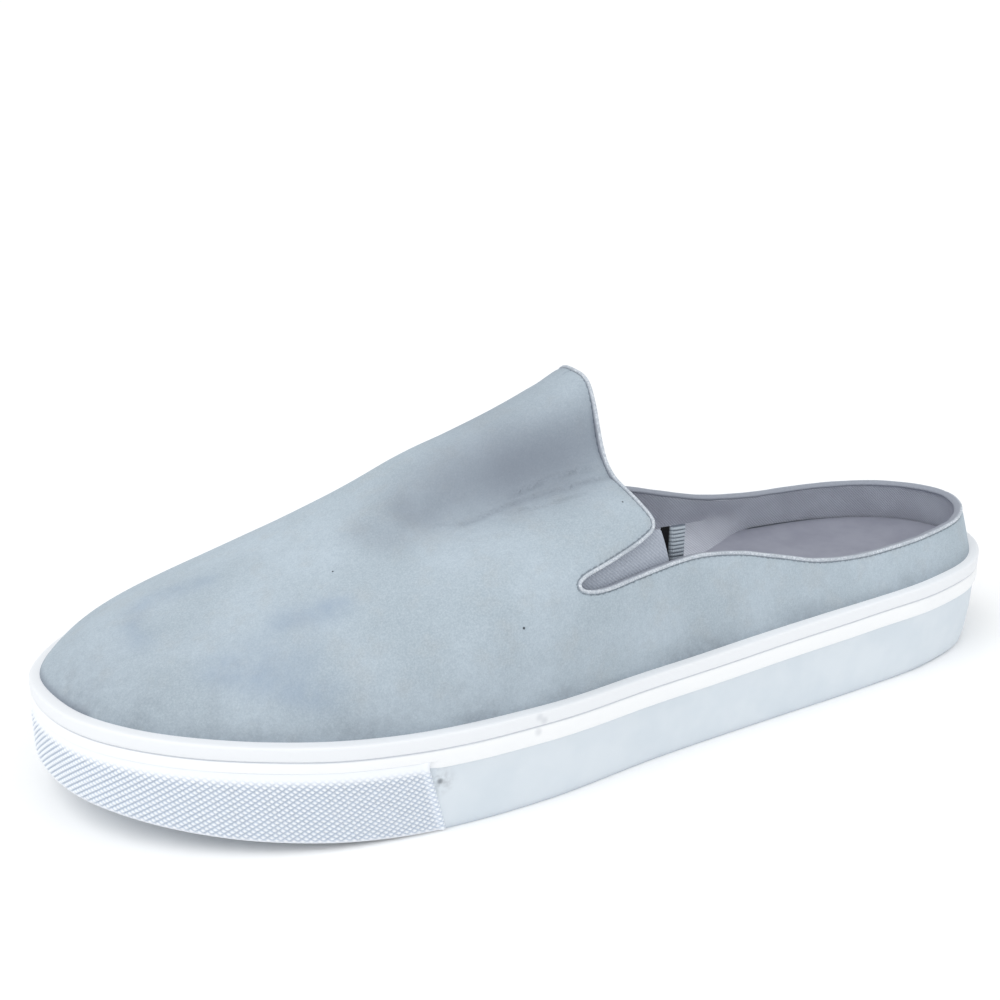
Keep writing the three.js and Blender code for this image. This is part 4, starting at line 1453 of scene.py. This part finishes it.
# painted shade: the wall darkens just above the ground
tone = wall_finish.blend(wall_finish.attribute("low"), tone, linear(196, 204, 214))
wall_finish.colour(tone)
wall_finish.bump(wall_finish.noise(0.7, 3, 0.6), 0.06, 0.45)

tread_finish = Finish("tread", linear(214, 222, 231), 0.7, 0.3)
tread = tread_finish.cell_edges(4.5)
tread_finish.bump(tread_finish.remap(tread, 0.05, 0.16), 0.8, 0.9)
print("finishes:", wall_finish.material.name, tread_finish.material.name)

# %% [markdown]
# The wall of the sole is a stack of rings, each read from the outline and set in by a small table: it
# leans under at the heel and stands straight along the top. It gives way a little behind the bumper,
# and two more rings carry it up inside the foxing, where the insole lies on its plain top.

# %% Sole
SOLE_SIDE = table(
    "share inset under",
    (0, 0.5, 1),
    (0.05, 0.1, 0.72),
    (0.22, 0, 0.42),
    (0.55, 0, 0.12),
    (1, 0, 0),
)
places = ring_places(261)


def sole_point(places, height, outward, lift=0.0):
    share = outline(places, 0)[2]
    undercut = read(SOLE, "undercut", share) * HEEL_FOXING_HEIGHT * np.interp(
        height, SOLE_SIDE["share"], SOLE_SIDE["under"]
    )
    inset = np.interp(height, SOLE_SIDE["share"], SOLE_SIDE["inset"])
    along, across, _ = outline(places, SOLE_SETBACK + inset + undercut - outward)
    low = read(SOLE, "ground", share) * HEEL_FOXING_HEIGHT
    high = foxing_top(share) - FOXING_HEIGHT
    return to_world(along, across, low + (high - low) * height + lift)


covered = soft_step(BUMPER_LATERAL + 0.06, BUMPER_LATERAL + 0.16, places) * soft_step(
    BUMPER_MEDIAL - 0.06, BUMPER_MEDIAL - 0.16, places
)
heights = [0, 0.012, 0.03, 0.05, 0.1, 0.16, 0.22, 0.3, 0.4, 0.55, 0.7, 0.85, 0.97, 1]
rings = [sole_point(places, height, -covered * 0.95) for height in heights]
for drop in (FOXING_HEIGHT, UPPER_TUCK):
    along, across, share = outline(places, FOXING_THICKNESS + GAP)
    rings.append(to_world(along, across, foxing_top(share) - drop - GAP))
sole_points, (side_faces, top_faces, low_faces) = capped_loft(rings, 12, 40)
share_low = np.repeat([*heights, 1, 1], len(places))
# painted shade just above the ground
painted_ground_shade = np.zeros(len(sole_points))
painted_ground_shade[: len(share_low)] = 0.5 * np.exp(-((share_low / 0.07) ** 2))
sole = make_piece(
    "rubber_sole",
    "sole",
    sole_points,
    np.vstack([side_faces, top_faces, low_faces]),
    [wall_finish.material, tread_finish.material],
    layers={"low": painted_ground_shade},
    face_finish=[0] * (len(side_faces) + len(top_faces)) + [1] * len(low_faces),
    sharp=50,
)

# %% [markdown]
# The bumper's diamonds are real geometry: two sets of slanted ribs cross, and the height is lowest
# where either set has its groove. They fade out toward the top, where the bumper turns into a plain
# lip. Bump alone would leave its outline smooth and its dips too pale, so the dips are also painted
# darker, as painted shade.

# %% Toe bumper
bumper_finish = Finish("bumper", linear(224, 232, 241), 0.55, 0.35)
# painted shade: the dips between the diamonds are painted darker
tone = bumper_finish.blend(bumper_finish.attribute("dip"), linear(246, 249, 253), linear(182, 195, 213))
bumper_finish.colour(tone)
bumper_finish.bump(bumper_finish.noise(0.6, 3, 0.6), 0.04, 0.4)
DIAMOND_LONG, DIAMOND_HIGH, DIAMOND_RAISE = 1.9, 1.4, 0.45
ALONG_STEPS, WALL_STEPS, LAP_STEPS = 760, 86, 12
heights = np.r_[np.linspace(0, 1, WALL_STEPS), np.ones(LAP_STEPS)]
lifts = np.r_[np.zeros(WALL_STEPS), np.linspace(0, BUMPER_OVERLAP, LAP_STEPS + 1)[1:]]
share = np.linspace(0, 1, ALONG_STEPS + 1)
outward = SOLE_SETBACK - BUMPER_SETBACK


def bumper_row(height, lift, out):
    place = BUMPER_LATERAL + (BUMPER_MEDIAL - BUMPER_LATERAL) * share
    place = place + (1 - 2 * share) * BUMPER_SLANT * height
    return sole_point(place, height, out, lift)


face_rows = np.stack([bumper_row(h, l, outward) for h, l in zip(heights, lifts)])
back_rows = np.stack([bumper_row(h, l, outward - BUMPER_THICKNESS) for h, l in zip(heights, lifts)])
outward_way = face_rows - back_rows
outward_way /= np.linalg.norm(outward_way, axis=2, keepdims=True)
middle_row = face_rows[WALL_STEPS // 2]
run = np.r_[0, np.cumsum(np.linalg.norm(np.diff(middle_row, axis=0), axis=1))]
climb_steps = np.linalg.norm(np.diff(face_rows, axis=0), axis=2)
up_run = np.cumsum(np.vstack([np.zeros(ALONG_STEPS + 1), climb_steps]), 0)
first = run[None, :] / DIAMOND_LONG + up_run / DIAMOND_HIGH
second = run[None, :] / DIAMOND_LONG - up_run / DIAMOND_HIGH
ridge = np.minimum(0.5 - np.abs(first % 1 - 0.5), 0.5 - np.abs(second % 1 - 0.5))
diamond = soft_step(0.02, 0.3, ridge)
height_over = up_run[-1:] - up_run
fade = soft_step(1.3, 4.2, height_over) * soft_step(0.3, 1.8, up_run)
end = np.minimum(run, run[-1] - run)[None, :]
rim_raise = np.exp(-(((end - 0.9) / 0.7) ** 4))
raised = DIAMOND_RAISE * diamond * fade * soft_step(1.8, 2.6, end) + 0.35 * rim_raise
raised += 0.1 * soft_step(4.0, 1.5, height_over)
raised -= 0.35 * soft_step(0.5, 0, height_over) ** 2 + 0.5 * soft_step(0.8, 0, up_run) ** 2
raised -= 0.3 * soft_step(0.5, 0, end)
face = face_rows + outward_way * (raised - 0.12)[..., None]
count = face.shape[0] * face.shape[1]
grid = np.arange(count).reshape(face.shape[:2])
a, b, c, d = grid[:-1, :-1], grid[:-1, 1:], grid[1:, 1:], grid[1:, :-1]
quads = np.stack([a, b, c, d], -1).reshape(-1, 4)
border = np.r_[grid[0], grid[1:, -1], grid[-1, :-1][::-1], grid[1:-1, 0][::-1]]
onward = np.roll(border, -1)
back_ring = back_rows.reshape(-1, 3)[border]
step = np.arange(len(border))
wall = np.c_[onward, border, step + count, (step + 1) % len(border) + count]
bumper = make_piece(
    "diamond_bumper",
    "toe_bumper",
    np.vstack([face.reshape(-1, 3), back_ring]),
    np.vstack([quads, wall]),
    [bumper_finish.material],
    layers={"dip": np.r_[(0.9 * (1 - diamond) * fade).ravel(), np.zeros(len(border))]},
    sharp=55,
)

# %% [markdown]
# ## Room and light
#
# The picture was taken on white with soft light from above. A wide pale floor fills the view, a broad
# sun gives the direction, and a pale sky fills in the shadows.

# %% Floor and lights
floor_data = bpy.data.meshes.new("floor")
reach = 60.0
floor_data.from_pydata(
    [(-reach, -reach, 0), (reach, -reach, 0), (reach, reach, 0), (-reach, reach, 0)], [], [(0, 1, 2, 3)]
)
floor_finish = Finish("floor", (1, 1, 1, 1), 0.9, 0.1)
floor_data.materials.append(floor_finish.material)
floor = bpy.data.objects.new("floor", floor_data)
bpy.context.scene.collection.objects.link(floor)

world = bpy.data.worlds.new("sky")
world.use_nodes = True
world.node_tree.nodes["Background"].inputs["Color"].default_value = (0.965, 0.985, 1, 1)
world.node_tree.nodes["Background"].inputs["Strength"].default_value = 0.66
bpy.context.scene.world = world

for name, strength, spread, turn in (
    ("key", 1.25, 50, (math.radians(8), math.radians(-32), 0)),
    ("fill", 0.5, 90, (math.radians(50), math.radians(25), 0)),
):
    light = bpy.data.lights.new(name, "SUN")
    light.energy = strength
    light.angle = math.radians(spread)
    lamp = bpy.data.objects.new(name, light)
    lamp.rotation_euler = turn
    bpy.context.scene.collection.objects.link(lamp)
bpy.context.scene.view_settings.view_transform = "Standard"
print("lights ready")
